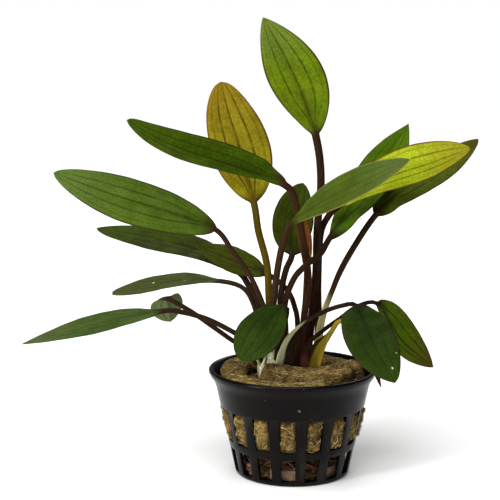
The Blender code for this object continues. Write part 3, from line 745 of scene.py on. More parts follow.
def leaf_skin(leaf, look, general):
    """Tissue with long veins, fine cross veins, mottling, a thin margin and a darker, streaked stalk whose
    pale streaks are partly painted highlight.
    """
    paint = Paint(f"{leaf.name} skin")
    across = paint.number("across")
    along = paint.number("along")
    upper = paint.number("upper")
    stalk = paint.number("stalk")
    side = paint.maths("ABSOLUTE", across)
    place = paint.place()
    seed = len(leaf.name) * 0.37 + leaf.width

    # long veins: they leave the midrib near the base and meet it again at the tip
    wander = paint.noise(18, 2, vector=paint.joined(paint.times(along, 0.5), seed, across))
    bent = paint.plus(side, paint.times(paint.minus(wander, 0.5), 0.05))
    spread = paint.fade(along, 0.0, 0.32, 0.3, 1.0)
    rib_width = paint.fade(along, 0.0, 0.6, 0.2, 0.07)
    rib = paint.fade(side, 0.0, rib_width, 1.0, 0.0)
    veins = rib
    for part, thickness, strength in LONG_VEINS:
        offset = paint.maths("ABSOLUTE", paint.minus(bent, paint.times(spread, part)))
        veins = paint.maths("MAXIMUM", veins, paint.fade(offset, 0.0, thickness, strength, 0.0))

    # fine cross veins that slant forward from the midrib
    length = length_of(np.array(leaf.midrib, float)) + 10
    slanted = paint.plus(paint.times(along, length), paint.times(side, -leaf.width * CROSS_VEIN_SLANT))
    ruffle = paint.noise(420, 2, vector=place)
    phase = paint.plus(paint.times(slanted, CROSS_VEINS_PER_MM), paint.times(ruffle, 5.0))
    cross = paint.maths("POWER", paint.maths("ABSOLUTE", paint.maths("SINE", phase)), 6.0)
    on_blade = paint.minus(1.0, stalk)
    net_place = paint.joined(paint.times(along, length), paint.times(across, leaf.width / 2), seed)
    net_sockets = {"Vector": net_place, "Scale": NET_CELLS_PER_MM}
    cells = paint.add("TexVoronoi", net_sockets, feature="DISTANCE_TO_EDGE")
    net = paint.fade(cells.outputs["Distance"], 0.0, 0.16, 1.0, 0.0)

    mottle = paint.fade(paint.noise(130, 5, 0.65), 0.36, 0.64)
    grain = paint.noise(1500, 3, 0.65)
    colour = paint.mix(mottle, look.tissue, look.shade)
    # Towards its tip the blade takes its look's tip colour; on leaf_right_front this grey tip is painted
    # sheen.
    colour = paint.mix(paint.fade(along, 0.5, 1.0, 0.0, 0.75), colour, look.tip)
    colour = paint.mix(paint.times(cross, 0.14), colour, look.vein)
    colour = paint.mix(paint.times(net, 0.26), colour, look.vein)
    colour = paint.mix(paint.fade(grain, 0.42, 0.7, 0.0, 0.34), colour, look.vein)
    colour = paint.mix(paint.fade(paint.noise(700, 2), 0.6, 0.8, 0.0, 0.2), colour, look.tip)
    smear = paint.times(paint.fade(side, 0.0, 0.5, 1.0, 0.0), paint.fade(along, 0.0, 0.75, 1.0, 0.0))
    blotch = paint.fade(paint.noise(150, 3), 0.3, 0.65, 0.4, 1.0)
    smear = paint.times(smear, paint.times(blotch, look.smear))
    colour = paint.mix(smear, colour, look.vein)
    smudged = paint.times(veins, paint.fade(paint.noise(330, 3), 0.25, 0.6, 0.45, 1.0))
    colour = paint.mix(paint.times(smudged, look.vein_strength), colour, look.vein)
    for nick_along, nick_across, size in leaf.nicks:
        lengthwise = paint.times(paint.minus(along, nick_along), length)
        crosswise = paint.times(paint.minus(across, nick_across), leaf.width * 0.4)
        away = paint.plus(paint.times(lengthwise, lengthwise), paint.times(crosswise, crosswise))
        ragged = paint.plus(away, paint.times(ruffle, 0.25))
        colour = paint.mix(paint.fade(ragged, size * size + 0.2, size * size), colour, general.nick)
    under = paint.mix(0.3, colour, general.underside)
    colour = paint.mix(upper, under, colour)
    colour = paint.mix(paint.fade(side, 0.9, 0.97, 0.0, 0.9), colour, look.edge)

    # the stalk: streaked along its length, its pale streaks partly its own and partly painted highlight,
    # with a margin in its own colour on the sheath
    lengthwise = paint.joined(paint.times(across, 2.2), paint.times(along, 1.2), seed)
    streaks = paint.noise(9, 4, 0.6, vector=lengthwise)
    streak_place = paint.fade(streaks, 0.3, 0.7)
    stalk_colour = paint.mix(streak_place, look.stalk, paint.mix(0.55, look.stalk, general.stalk_shade))
    # pale streaks: partly the stalk's own colour, partly painted highlight
    stalk_colour = paint.mix(paint.fade(streaks, 0.42, 0.25, 0.0, 0.55), stalk_colour, general.stalk_streak_and_highlight)
    if leaf.sheath:
        top = min(leaf.sheath_top, leaf.margin_top)
        low = paint.fade(along, top - 0.12, top, 1.0, 0.0)
        ragged = paint.plus(across, paint.times(paint.minus(streaks, 0.5), 0.5))
        towards_margin = paint.times(ragged, leaf.margin_side)
        margin = paint.fade(towards_margin, leaf.margin_from, leaf.margin_from + 0.25)
        share = paint.times(paint.times(margin, low), 0.9)
        stalk_colour = paint.mix(share, stalk_colour, getattr(general, leaf.margin))
    colour = paint.mix(stalk, colour, stalk_colour)

    relief = paint.minus(paint.times(grain, 0.25), paint.times(veins, 0.6))
    relief = paint.minus(relief, paint.times(cross, 0.35))
    relief = paint.times(relief, on_blade)
    relief = paint.plus(relief, paint.times(paint.times(streaks, stalk), 0.9))
    gloss = paint.fade(paint.noise(260, 3), 0.3, 0.7, general.roughness - 0.07, general.roughness + 0.1)
    paint.set(Base_Color=colour, Roughness=gloss, Normal=paint.bump(relief, 0.00022, 0.6))
    paint.set(Specular_IOR_Level=look.gloss, IOR=LEAF_IOR)
    if look.glow > 0:
        paint.let_light_through(look.glow, colour)
    return paint.material


def outline(leaf, share, side):
    """Half the blade's width at a share of its length, to the left (side -1) or right (1) of the midrib."""
    widest = leaf.widest + leaf.skew * side
    bent = share ** (math.log(0.5) / np.log(widest))
    fullness = np.where(share < widest, leaf.base_fullness, leaf.fullness)
    lance = np.sin(np.pi * np.clip(bent, 0, 1)) ** fullness
    foot = leaf.stalk_radius * (1 - ease(share / 0.2))
    return np.maximum(np.maximum(leaf.width / 2 * (1 + leaf.lean * side) * lance, foot), TIP_HALF_WIDTH)


def leaf_frames(leaf):
    """Centres, sideways and upward directions, and shares along the stalk (-1 to 0) and blade (0 to 1)."""
    curve = smooth_curve([*leaf.stalk, *leaf.midrib])
    split = (len(leaf.stalk) - 1) * CURVE_STEPS
    stalk_curve = curve[: split + 1]
    blade_curve = curve[split:]
    stalk_count = max(FEWEST_STALK_RINGS, round(length_of(stalk_curve) / STALK_RING_EVERY))
    blade_count = max(FEWEST_BLADE_RINGS, round(length_of(blade_curve) / BLADE_RING_EVERY))

    stalk_shares = np.arange(stalk_count) / stalk_count
    blade_shares = np.arange(blade_count + 1) / blade_count
    blade_points, blade_headings = walk(blade_curve, blade_shares)
    stalk_points, stalk_headings = walk(stalk_curve, stalk_shares)
    blade_across = unit(np.cross(blade_headings, np.array(leaf.faces, float)))
    across = blade_across[0]
    stalk_across = []
    for heading in stalk_headings[::-1]:
        across = unit(across - heading * across.dot(heading))
        stalk_across.insert(0, across)
    stalk_across = np.array(stalk_across)
    if leaf.sheath:
        # the stalk twists, so that its sheath opens towards the crown at the foot
        up = np.cross(stalk_across[0], stalk_headings[0])
        wanted = np.array(leaf.sheath_faces, float)
        twist = math.atan2(-wanted.dot(stalk_across[0]), wanted.dot(up))
        turned = twist * ease(1.6 * (1 - stalk_shares))[:, None]
        beside = np.cross(stalk_headings, stalk_across)
        stalk_across = stalk_across * np.cos(turned) + beside * np.sin(turned)

    centres = np.vstack([stalk_points, blade_points])
    headings = np.vstack([stalk_headings, blade_headings])
    across = np.vstack([stalk_across, blade_across])
    along = np.concatenate([stalk_shares - 1, blade_shares])
    return centres, across, np.cross(across, headings), along


def make_leaf(leaf, look, general):
    centres, across, up, along = leaf_frames(leaf)
    turn = math.tau * np.arange(RING_POINTS) / RING_POINTS
    place = np.where(turn <= math.pi, 1 - 2 * turn / math.pi, 2 * turn / math.pi - 3)[None, :]
    is_upper = np.where(np.sin(turn) > 1e-6, 1.0, np.where(np.sin(turn) < -1e-6, -1.0, 0.0))[None, :]
    share = np.clip(along, 0, 1)[:, None]
    on_stalk = (along < 0)[:, None]
    radius = leaf.stalk_radius

    flat = ease(share / STALK_TO_BLADE)
    half = np.where(on_stalk, radius, outline(leaf, share, np.sign(place)))
    fold = math.radians(leaf.fold_deg) * flat * (1 - TIP_FLATTENING * share)
    thickness = np.full_like(share, general.thickness / MM)
    if leaf.sheath:
        foot = ease((leaf.sheath_top - along[:, None]) / (leaf.sheath_top + 1)) * on_stalk
        flat = np.maximum(flat, np.minimum(3 * foot, SHEATH_FLATTENING))
        half = np.where(on_stalk, blend(radius, leaf.sheath, foot), half)
        fold = np.where(on_stalk, math.radians(SHEATH_FOLD_DEG) * foot, fold)
        thickness = np.where(on_stalk, SHEATH_THICKNESS, thickness)

    # relief of the blade: groove and rib on the midrib, swelling between the veins, a wavy margin
    side = np.abs(place)
    reach = side * half
    taper = (1 - share) ** 0.6
    groove = -general.groove / MM * taper * np.exp(-((reach / GROOVE_REACH) ** 2))
    rib = -general.rib_height / MM * taper * np.exp(-((reach / RIB_REACH) ** 2))
    swelling = general.quilting / MM * np.abs(np.sin(math.pi * side / SWELLING_PITCH))
    swelling = swelling * np.clip(half / 5, 0, 1)
    seed = sum(map(ord, leaf.name)) % 17
    phase = seed + 1.7 * (place > 0)
    long_wave = np.sin(math.tau * WAVES_ALONG_BLADE * share + phase)
    short_wave = np.sin(math.tau * WAVES_ALONG_BLADE * 2.7 * share + 2 * phase)
    wave = WAVE_HEIGHT * (long_wave + 0.4 * short_wave) * side**2 * np.sin(math.pi * share) ** 0.5
    edge = 1 - MARGIN_THINNING * side**3
    upper_height = swelling + groove + thickness / 2 * edge
    lower_height = swelling + rib - thickness / 2 * edge
    height = np.where(is_upper > 0, upper_height, np.where(is_upper < 0, lower_height, swelling))
    sides = np.sin(fold) * reach + wave

    sideways = blend(np.cos(turn)[None, :] * half, place * half * np.cos(fold), flat)
    upward = blend(np.sin(turn)[None, :] * radius, height + sides, flat)
    points = centres[:, None, :] + across[:, None, :] * sideways[..., None]
    points = points + up[:, None, :] * upward[..., None]
    faces = capped_tube(len(centres), RING_POINTS)

    shape = (len(centres), RING_POINTS)
    values = {
        "across": np.broadcast_to(place, shape),
        "along": np.broadcast_to(along[:, None], shape),
        "upper": np.broadcast_to((is_upper + 1) / 2, shape),
        "stalk": np.broadcast_to(np.where(on_stalk, 1.0, 1 - ease(share / 0.1)), shape),
    }
    skin = leaf_skin(leaf, look, general)
    points = points.reshape(-1, 3)
    return add_piece(f"{leaf.name}_blade", points, faces, skin, [leaf.name], values)


class SWORD_OT_leaves(bpy.types.Operator):
    """Make the nineteen leaves, each a stalk and a blade in one piece"""

    bl_idname = "sword.leaves"
    bl_label = "Leaves"

    def execute(self, context):
        for leaf in LEAVES:
            make_leaf(leaf, getattr(context.scene, f"sword_look_{leaf.look}"), context.scene.sword_leaves)
        return {"FINISHED"}


def crown_skin(values):
    """Pale and moist low on the left, with brown scales above and to the right."""
    paint = Paint("crown tissue")
    height = paint.number("height")
    leftward = paint.number("leftward")
    streaks = paint.noise(10, 4, 0.6, vector=paint.stretched(paint.place(), (110, 110, 14)))
    green = paint.mix(paint.fade(streaks, 0.4, 0.6), values.pale, values.green)
    uneven = paint.plus(leftward, paint.times(paint.minus(streaks, 0.5), 1.2))
    colour = paint.mix(paint.fade(uneven, -0.5, 0.3), values.scale, green)
    colour = paint.mix(paint.fade(height, 0.74, 0.98), colour, values.brown)
    colour = paint.mix(paint.fade(paint.noise(420, 4, 0.6), 0.5, 0.7, 0.0, 0.7), colour, values.brown)
    paint.set(Base_Color=colour, Roughness=0.3, Normal=paint.bump(streaks, 0.0003, 0.7))
    return paint.material


def make_crown(name, skin, bulge, shift, seed):
    """A swollen bulb wrapped in the bases of old leaves, each a ridge that runs up it."""
    low, high = in_mm(name)
    centre = (low + high) / 2
    share = np.linspace(0, 1, CROWN_RINGS)[:, None]
    turn = (math.tau * np.arange(CROWN_SIDES) / CROWN_SIDES)[None, :]
    swelling = np.interp(share, CROWN_HEIGHTS, CROWN_WIDTHS)
    ridges = 0.94 + 0.12 * np.abs(np.sin(3 * turn + seed + 1.8 * share))
    radius = bulge * swelling * ridges
    lower = 1 - ease((share - 0.45) / 0.5)
    height = blend(low.z, high.z - 1.0, share)
    x = centre.x + shift[0] * lower + radius * np.cos(turn)
    y = centre.y + shift[1] * lower + radius * np.sin(turn)
    points = np.stack([x, y, np.broadcast_to(height, x.shape)], axis=-1).reshape(-1, 3)
    faces = capped_tube(CROWN_RINGS, CROWN_SIDES)
    values = {
        "height": np.broadcast_to(share, x.shape),
        "leftward": np.broadcast_to(-np.cos(turn), x.shape),
    }
    return add_piece(f"{name}_bulb", points, faces, skin, [name], values)


class SWORD_OT_crowns(bpy.types.Operator):
    """Make the two pale crowns that the leaves grow from"""

    bl_idname = "sword.crowns"
    bl_label = "Crowns"

    def execute(self, context):
        values = context.scene.sword_crown
        skin = crown_skin(values)
        bulge = values.bulge / MM
        make_crown("crown_left", skin, bulge=bulge, shift=(-1.4, -3.4), seed=0.4)
        make_crown("crown_right", skin, bulge=bulge * 0.7, shift=(0, -0.5), seed=1.9)
        return {"FINISHED"}


def wool_mat(values):
    """The felted body of the wool, with painted shade in its hollows, darkest behind the lower windows."""
    paint = Paint("rock wool mat")
    lumps = paint.noise(260, 6, 0.65)
    fuzz = paint.noise(1600, 4, 0.7)
    colour = paint.mix(paint.fade(lumps, 0.35, 0.68), values.dark, values.middle)
    colour = paint.mix(paint.fade(fuzz, 0.5, 0.75, 0.0, 0.5), colour, values.pale)
    # Painted shade: below the lower windows' top, the low parts of the lumps are darkened almost to black.
    deep = paint.times(paint.number("deep"), paint.fade(lumps, 0.62, 0.45))
    colour = paint.mix(paint.times(deep, 0.85), colour, values.hollow_painted_shade)
    torn = paint.plus(paint.number("wad"), paint.times(paint.minus(fuzz, 0.5), 0.8))
    colour = paint.mix(paint.fade(torn, 0.45, 0.6), colour, values.wad)
    height = paint.plus(lumps, paint.times(fuzz, 0.4))
    paint.set(Base_Color=colour, Roughness=0.95, Normal=paint.bump(height, 0.0009, 0.9))
    paint.set(Specular_IOR_Level=0.1)
    return paint.material


def wool_fibre(values):
    """Fibres in tones from brown to straw."""
    paint = Paint("rock wool fibres")
    tint = paint.number("tint")
    patches = paint.noise(140, 3)
    colour = paint.mix(paint.fade(tint, 0.0, 0.4), values.dark, values.middle)
    colour = paint.mix(paint.fade(tint, 0.45, 0.95), colour, values.pale)
    colour = paint.mix(paint.fade(patches, 0.5, 0.66, 0.0, 0.6), colour, values.dark)
    paint.set(Base_Color=colour, Roughness=0.75, Specular_IOR_Level=0.25)
    return paint.material


def lumpy(points, normals, size, depth, seed):
    """Points pushed in and out along their normals by smooth noise."""
    moved = []
    offset = Vector((seed * 7.1, seed * 3.3, seed))
    for point, normal in zip(points, normals):
        at = Vector(point) / size + offset
        push = depth * (noise.noise(at) + 0.5 * noise.noise(at * 2.3) + 0.3 * noise.noise(at * 5.1))
        moved.append(point + normal * push)
    return np.array(moved)


def normals_of(points, faces):
    mesh = bpy.data.meshes.new("scratch")
    mesh.from_pydata(points.tolist(), [], faces)
    found = np.array([v.normal for v in mesh.vertices])
    bpy.data.meshes.remove(mesh)
    return found


def lay_fibres(name, points, faces, count, reach, grain, lift, tidy, radius, skin, seed, keep=None):
    """Fibres that lie on a surface: each starts at a random place, follows the grain and curls a little."""
    draw = random.Random(seed)
    corners = [Vector(p) for p in points]
    tree = BVHTree.FromPolygons(corners, faces)
    areas = []
    for face in faces:
        a, b, c = (corners[i] for i in face[:3])
        areas.append((b - a).cross(c - a).length)
    picked = draw.choices(range(len(faces)), weights=areas, k=count)
    lines = []
    tints = []
    for index in picked:
        face = faces[index]
        a, b, c = corners[face[0]], corners[face[1]], corners[face[2]]
        u, v = draw.random(), draw.random()
        start = a + (b - a) * u + (c - b) * v * u
        if keep is not None and not keep(start):
            continue
        heading = grain(start, draw) + Vector([draw.gauss(0, 1 - tidy) for _ in range(3)])
        heading.normalize()
        length = draw.uniform(*reach)
        curl = Vector([draw.gauss(0, 0.25) for _ in range(3)])
        high = draw.random() ** 2 * lift
        line = []
        at = start.copy()
        for step in range(FIBRE_POINTS):
            near, normal, _, _ = tree.find_nearest(at)
            arch = 0.25 + math.sin(math.pi * step / (FIBRE_POINTS - 1))
            line.append(near + normal * (high * arch + 0.02))
            heading = (heading + curl / FIBRE_POINTS).normalized()
            at = near + heading * length / (FIBRE_POINTS - 1)
        lines.append(line)
        tints.append(draw.random())
    return fibre_piece(name, np.array(lines), np.array(tints), radius, skin, draw)


def fibre_piece(name, lines, tints, radius, skin, draw):
    """One joined mesh of thin tubes along the lines, each tapered at both ends."""
    count, steps, _ = lines.shape
    headings = unit(np.gradient(lines, axis=1) + 1e-9)
    side = unit(np.cross(headings, np.array([0.31, 0.52, 0.8])))
    other = np.cross(headings, side)
    taper = (0.35 + 0.65 * np.sin(math.pi * np.linspace(0.06, 0.94, steps)))[None, :, None]
    thick = radius * np.array([draw.uniform(0.6, 1.4) for _ in range(count)])[:, None, None] * taper
    turn = math.tau * np.arange(FIBRE_SIDES) / FIBRE_SIDES
    rings = [lines + (side * math.cos(a) + other * math.sin(a)) * thick for a in turn]
    points = np.stack(rings, axis=2).reshape(-1, 3)
    quads = ring_quads(steps, FIBRE_SIDES)
    faces = (quads[None] + (np.arange(count) * steps * FIBRE_SIDES)[:, None, None]).reshape(-1, 4)
    values = {"tint": np.repeat(tints, steps * FIBRE_SIDES)}
    return add_piece(name, points, faces.tolist(), skin, (), values)


def strip_surface(path, width, height, seed):
    """A soft, lumpy strip of wool along a path on top of the block."""
    curve = smooth_curve([(x, y, WOOL_TOP + 0.1) for x, y in path])
    share = np.linspace(0, 1, STRIP_RINGS)
    centres, headings = walk(curve, share)
    across = unit(np.cross(headings, np.array([0.0, 0.0, 1.0])))
    turn = math.tau * np.arange(STRIP_SIDES) / STRIP_SIDES
    end = (np.clip(np.minimum(share, 1 - share) / 0.07, 0.0, 1.0) ** 0.5)[:, None]
    end = np.maximum(end, 0.12)
    lump = 1 + 0.1 * np.sin(7 * share + seed)[:, None]
    sideways = np.sign(np.cos(turn)) * np.abs(np.cos(turn)) ** 0.8 * width / 2 * end
    upward = height * (0.5 + 0.5 * np.sign(np.sin(turn)) * np.abs(np.sin(turn)) ** 0.8) * end * lump
    points = centres[:, None, :] + across[:, None, :] * sideways[..., None]
    points[..., 2] += upward
    points = points.reshape(-1, 3)
    faces = capped_tube(STRIP_RINGS, STRIP_SIDES)
    points = lumpy(points, normals_of(points, faces), size=2.2, depth=0.42, seed=seed)
    return points, faces


def arc(radius, start_deg, end_deg, count=5):
    """Places along an arc round the pot's axis, seen from above."""
    angles = np.radians(np.linspace(start_deg, end_deg, count))
    return [(radius * math.cos(a), radius * math.sin(a)) for a in angles]


class Strip(NamedTuple):
    """A loose strip of wool by its path, seen from above, its width and its height."""

    name: str
    path: list
    width: float
    height: float
    seed: float


ROLL_PATH = [(-11.4, -10.4), (-3, -10.9), (8, -10.2), (16, -7.6), (22.6, -3.6)]
STRIPS = [
    Strip("rock_wool_front", arc(20.9, 190, 304), width=6.8, height=4.5, seed=0.0),
    Strip("rock_wool_roll", ROLL_PATH, width=8.2, height=7.5, seed=1.3),
    Strip("rock_wool_back", arc(19.6, 8, 108), width=8.4, height=5.2, seed=2.1),
    Strip("rock_wool_left", arc(19.8, 116, 188), width=8.6, height=5.4, seed=3.0),
]


def wall_radius(height):
    """Outer radius of the pot's wall below its lip."""
    return BASE_RADIUS + math.tan(math.radians(WALL_DRAFT_DEG)) * height


def block_surface():
    """The wool block: it swells into the upper windows and draws back behind the lower ones."""
    sides = BLOCK_SIDES
    turn = math.tau * np.arange(sides) / sides + math.radians(FIRST_BAR_DEG)
    in_window = (turn - math.radians(FIRST_BAR_DEG)) * WINDOW_COLUMNS / math.tau % 1
    off_middle = np.abs(in_window - 0.5) / (WINDOW_SHARE / 2)
    column = np.floor((turn - math.radians(FIRST_BAR_DEG)) * WINDOW_COLUMNS / math.tau)
    bulge = 0.3 + 0.35 * np.sin(column * 2.3 + 0.6)
    rows = []
    for height in np.linspace(FLOOR + 0.3, WOOL_TOP, BLOCK_RINGS):
        inside = wall_radius(height) - WALL - 0.4
        low, high = UPPER_WINDOW
        upward = min((height - low - 0.3) / 1.2, (high - 0.3 - height) / 1.2)
        rise = ease(np.array(upward)) * ease((0.96 - off_middle) / 0.3)
        drawn_back = ease((10.5 - height) / 1.6) * ease((height - 4.6) / 1.0)
        base = inside - 3.6 * drawn_back - 0.9 * ease((5.2 - height) / 1.0)
        if height > WOOL_TOP - 1.5:
            base -= 1.6 * (height - WOOL_TOP + 1.5)
        radius = base + (WALL + 0.4 + bulge) * rise
        row = [radius * np.cos(turn), radius * np.sin(turn), np.full(sides, height)]
        rows.append(np.stack(row, axis=-1))
    for shrink in (0.8, 0.55, 0.25):
        top = rows[BLOCK_RINGS - 1].copy()
        top[:, :2] *= shrink
        top[:, 2] += 0.3
        rows.append(top)
    points = np.array(rows).reshape(-1, 3)
    faces = capped_tube(len(rows), sides)
    moved = lumpy(points, normals_of(points, faces), size=1.7, depth=0.5, seed=5)
    # behind the bars and the band the wool stays inside the wall
    radius = np.linalg.norm(moved[:, :2], axis=1)
    in_hole = np.tile(off_middle < 0.93, len(rows))
    in_row = (points[:, 2] > UPPER_WINDOW[0] + 0.3) & (points[:, 2] < UPPER_WINDOW[1] - 0.3)
    limit = np.array([wall_radius(z) for z in moved[:, 2]]) - WALL - 0.25
    held = ~(in_hole & in_row) & (radius > limit)
    moved[held, :2] *= (limit[held] / radius[held])[:, None]
    moved[:, 2] = np.maximum(moved[:, 2], FLOOR + 0.15)
    return moved, faces


def round_the_axis(point, draw):
    """A direction round the pot's axis, one way or the other."""
    way = Vector((-point.y, point.x, 0)).normalized()
    return way if draw.random() < 0.5 else -way


def any_way(point, draw):
    return Vector([draw.gauss(0, 1) for _ in range(3)]).normalized()


class SWORD_OT_rock_wool(bpy.types.Operator):
    """Make the rock wool: the block in the pot, the loose strips on top, and their fibres"""

    bl_idname = "sword.rock_wool"
    bl_label = "Rock wool"

    def execute(self, context):
        values = context.scene.sword_wool
        mat = wool_mat(values)
        fibre = wool_fibre(values)
        radius = values.fibre_radius / MM
        for i, (name, path, width, height, seed) in enumerate(STRIPS):
            points, faces = strip_surface(path, width, height, seed)
            still = {"wad": np.zeros(len(points)), "deep": np.zeros(len(points))}
            add_piece(f"{name}_mat", points, faces, mat, [name], still)
            lay_fibres(
                f"{name}_fibres", points, faces, values.strip_fibres, reach=(4, 12), grain=round_the_axis,
                lift=1.3, tidy=0.76, radius=radius, skin=fibre, seed=11 + i,
            )
        points, faces = block_surface()
        wad = (points[:, 2] < WAD_TOP) & (np.sin(np.arctan2(points[:, 1], points[:, 0]) * 7 + 1) > -0.6)
        # The block's wool below the lower windows' top is marked for painted shade.
        shade = {"wad": wad.astype(float), "deep": (points[:, 2] < PAINTED_SHADE_TOP).astype(float)}
        add_piece("rock_wool_block_mat", points, faces, mat, ["rock_wool_plug"], shade)
        lay_fibres(
            "rock_wool_block_fibres", points, faces, values.block_fibres, reach=(1.5, 5), grain=any_way,
            lift=0.5, tidy=0.5, radius=radius, skin=fibre, seed=31,
            keep=lambda at: at.z > UPPER_WINDOW[0] + 0.4,
        )
        return {"FINISHED"}


ROOT_BUNDLES = [("root_front", 236, 300, 3), ("root_left", 165, 228, 4), ("root_right", 306, 372, 5)]


def root_skin(values):
    paint = Paint("root skin")
    tint = paint.number("tint")
    rings = paint.noise(900, 3)
    colour = paint.mix(tint, values.bark, values.fresh)
    colour = paint.mix(paint.fade(rings, 0.45, 0.7, 0.0, 0.6), colour, values.ring)
    paint.set(Base_Color=colour, Roughness=0.6, Normal=paint.bump(rings, 0.0002, 0.6))
    return paint.material


def wandering_root(start_deg, end_deg, radius, heights, draw, steps=16):
    """A root's line round the inside of the pot, with small random turns."""
    way = arc(radius, start_deg, end_deg, len(heights))
    shaken = []
    for (x, y), z in zip(way, heights):
        shaken.append((x + draw.uniform(-0.5, 0.5), y + draw.uniform(-0.5, 0.5), z))
    return walk(smooth_curve(shaken), np.linspace(0, 1, steps))[0]


def root_bundle(node, start_deg, end_deg, skin, values, seed):
    """Root strands between two angles round the pot, in place of a solid."""
    draw = random.Random(seed)
    lines = []
    for _ in range(ROOTS_IN_BUNDLE):
        heights = [draw.uniform(2.2, 8.6) for _ in range(5)]
        shift = draw.uniform(-6, 6)
        radius = draw.uniform(15.6, 17.4)
        lines.append(wandering_root(start_deg + shift, end_deg + shift, radius, heights, draw))
    tints = np.array([draw.random() for _ in lines])
    lines = np.array(lines)
    piece = fibre_piece(f"{node}_strands", lines, tints, values.radius / MM * 0.8, skin, draw)
    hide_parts(node)
    return piece


class SWORD_OT_roots(bpy.types.Operator):
    """Make the roots behind the lower windows and the fine ones at the crown"""

    bl_idname = "sword.roots"
    bl_label = "Roots"

    def execute(self, context):
        values = context.scene.sword_roots
        skin = root_skin(values)
        for node, start_deg, end_deg, seed in ROOT_BUNDLES:
            root_bundle(node, start_deg, end_deg, skin, values, seed)
        draw = random.Random(8)
        foot = in_mm("crown_left")[0]
        lines = []
        for i in range(CROWN_ROOTLETS):
            start = Vector((foot.x - 0.5 - 0.3 * i, foot.y - 0.5 + 0.2 * i, 40.5 - 0.3 * i))
            end = start + Vector((draw.uniform(-2.5, 1.5), -draw.uniform(2, 4), -draw.uniform(4.5, 6)))
            middle = (start + end) / 2 + Vector((draw.uniform(-1, 1), -1.2, draw.uniform(0, 1)))
            lines.append(walk(smooth_curve([start, middle, end]), np.linspace(0, 1, 10))[0])
        tints = np.array([draw.random() for _ in lines])
        fibre_piece("crown_rootlets", np.array(lines), tints, ROOTLET_RADIUS, skin, draw)
        return {"FINISHED"}


def pot_plastic(values):
    """Black moulded plastic with a dried film, fine scratches and a slightly uneven gloss."""
    paint = Paint("net pot plastic")
    place = paint.place()
    film = paint.noise(34, 6, 0.62)
    runs = paint.noise(6, 4, 0.6, vector=paint.stretched(place, (60, 60, 5)))
    specks = paint.noise(2600, 2, 0.5)
    dusty = paint.times(paint.fade(film, 0.48, 0.72), paint.fade(runs, 0.4, 0.7))
    colour = paint.mix(paint.times(dusty, 0.45), values.plastic, values.dust)
    colour = paint.mix(paint.fade(specks, 0.68, 0.78, 0.0, 0.4), colour, values.dust)
    chips = paint.noise(620, 1, 0.5)
    colour = paint.mix(paint.fade(chips, 0.79, 0.83, 0.0, 0.5), colour, values.speck)
    gloss = paint.fade(dusty, 0.0, 1.0, values.roughness - 0.05, values.roughness + 0.25)
    scratches = paint.noise(40, 5, 0.7, vector=paint.stretched(place, (9, 9, 60)))
    relief = paint.plus(paint.times(scratches, 0.6), paint.times(specks, 0.1))
    paint.set(Base_Color=colour, Roughness=gloss, Normal=paint.bump(relief, 0.0002, 0.35))
    paint.set(Specular_IOR_Level=0.08)
    return paint.material


def pot_stations():
    """Angles round the pot, and for each gap between two of them its place in the window pitch."""
    pitch = math.tau / WINDOW_COLUMNS
    half_bar = pitch * (1 - WINDOW_SHARE) / 2
    window = pitch * WINDOW_SHARE
    angles = []
    kinds = []
    for column in range(WINDOW_COLUMNS):
        bar = math.radians(FIRST_BAR_DEG) + column * pitch
        for step in range(BAR_STEPS):
            angles.append(bar - half_bar + 2 * half_bar * step / BAR_STEPS)
            kinds.append((column, False))
        for step in range(WINDOW_STEPS):
            angles.append(bar + half_bar + window * step / WINDOW_STEPS)
            kinds.append((column, True))
    return angles, kinds


def window_stops(row, window, inset=0.0):
    """Stops at a window row's sill, middle and head, outside the wall or, with an inset, inside it."""
    low, high = window
    side = "inner " if inset else ""
    heights = (("sill", low), ("middle", (low + high) / 2), ("head", high))
    return [(f"{side}{row} {part}", (wall_radius(z) - inset, z)) for part, z in heights]


def pot_profile():
    """Named (radius, height) stops under the base, up the outside, over the lip and down the inside."""
    lip_foot = POT_HEIGHT - LIP_HEIGHT
    band_foot = UPPER_WINDOW[1] + BAND_STEP
    band_top = lip_foot - 1.4
    middle = (LOWER_WINDOW[1] + UPPER_WINDOW[0]) / 2
    stops = [
        ("under hub", (HUB_RADIUS, 0)),
        ("under slot", (FLOOR_SLOT_RADIUS, 0)),
        ("foot", (wall_radius(0) - 0.7, 0)),
        ("foot round", (wall_radius(0) - 0.15, 0.25)),
        ("foot side", (wall_radius(0.8), 0.8)),
        *window_stops("lower", LOWER_WINDOW),
        ("ring", (wall_radius(middle) + 0.12, middle)),
        *window_stops("upper", UPPER_WINDOW),
        ("band foot", (wall_radius(band_foot) + 0.35, band_foot)),
        ("band low", (wall_radius(band_foot) + BAND_STEP + 0.06, band_foot + 0.35)),
        ("band top", (wall_radius(band_top) + BAND_STEP + 0.02, band_top)),
        ("lip throat", (wall_radius(lip_foot) + BAND_STEP + 0.16, lip_foot)),
        ("lip flare", (RIM_RADIUS - 1.6, lip_foot + 1.3)),
        ("lip slant", (RIM_RADIUS - 0.75, lip_foot + 2.4)),
        ("lip side", (RIM_RADIUS - 0.06, POT_HEIGHT - 1.1)),
        ("lip shoulder", (RIM_RADIUS - 0.08, POT_HEIGHT - 0.55)),
        ("lip round", (RIM_RADIUS - 0.35, POT_HEIGHT - 0.14)),
        ("lip top", (RIM_RADIUS - 0.8, POT_HEIGHT)),
        ("inner round", (RIM_RADIUS - 1.35, POT_HEIGHT - 0.12)),
        ("inner lip", (RIM_RADIUS - 1.8, POT_HEIGHT - 0.6)),
        ("inner band", (wall_radius(lip_foot) - WALL + 0.1, lip_foot)),
        *reversed(window_stops("upper", UPPER_WINDOW, WALL)),
        *reversed(window_stops("lower", LOWER_WINDOW, WALL)),
        ("floor slot", (FLOOR_SLOT_RADIUS, FLOOR)),
        ("floor hub", (HUB_RADIUS, FLOOR)),
    ]
    return [name for name, _ in stops], [place for _, place in stops]


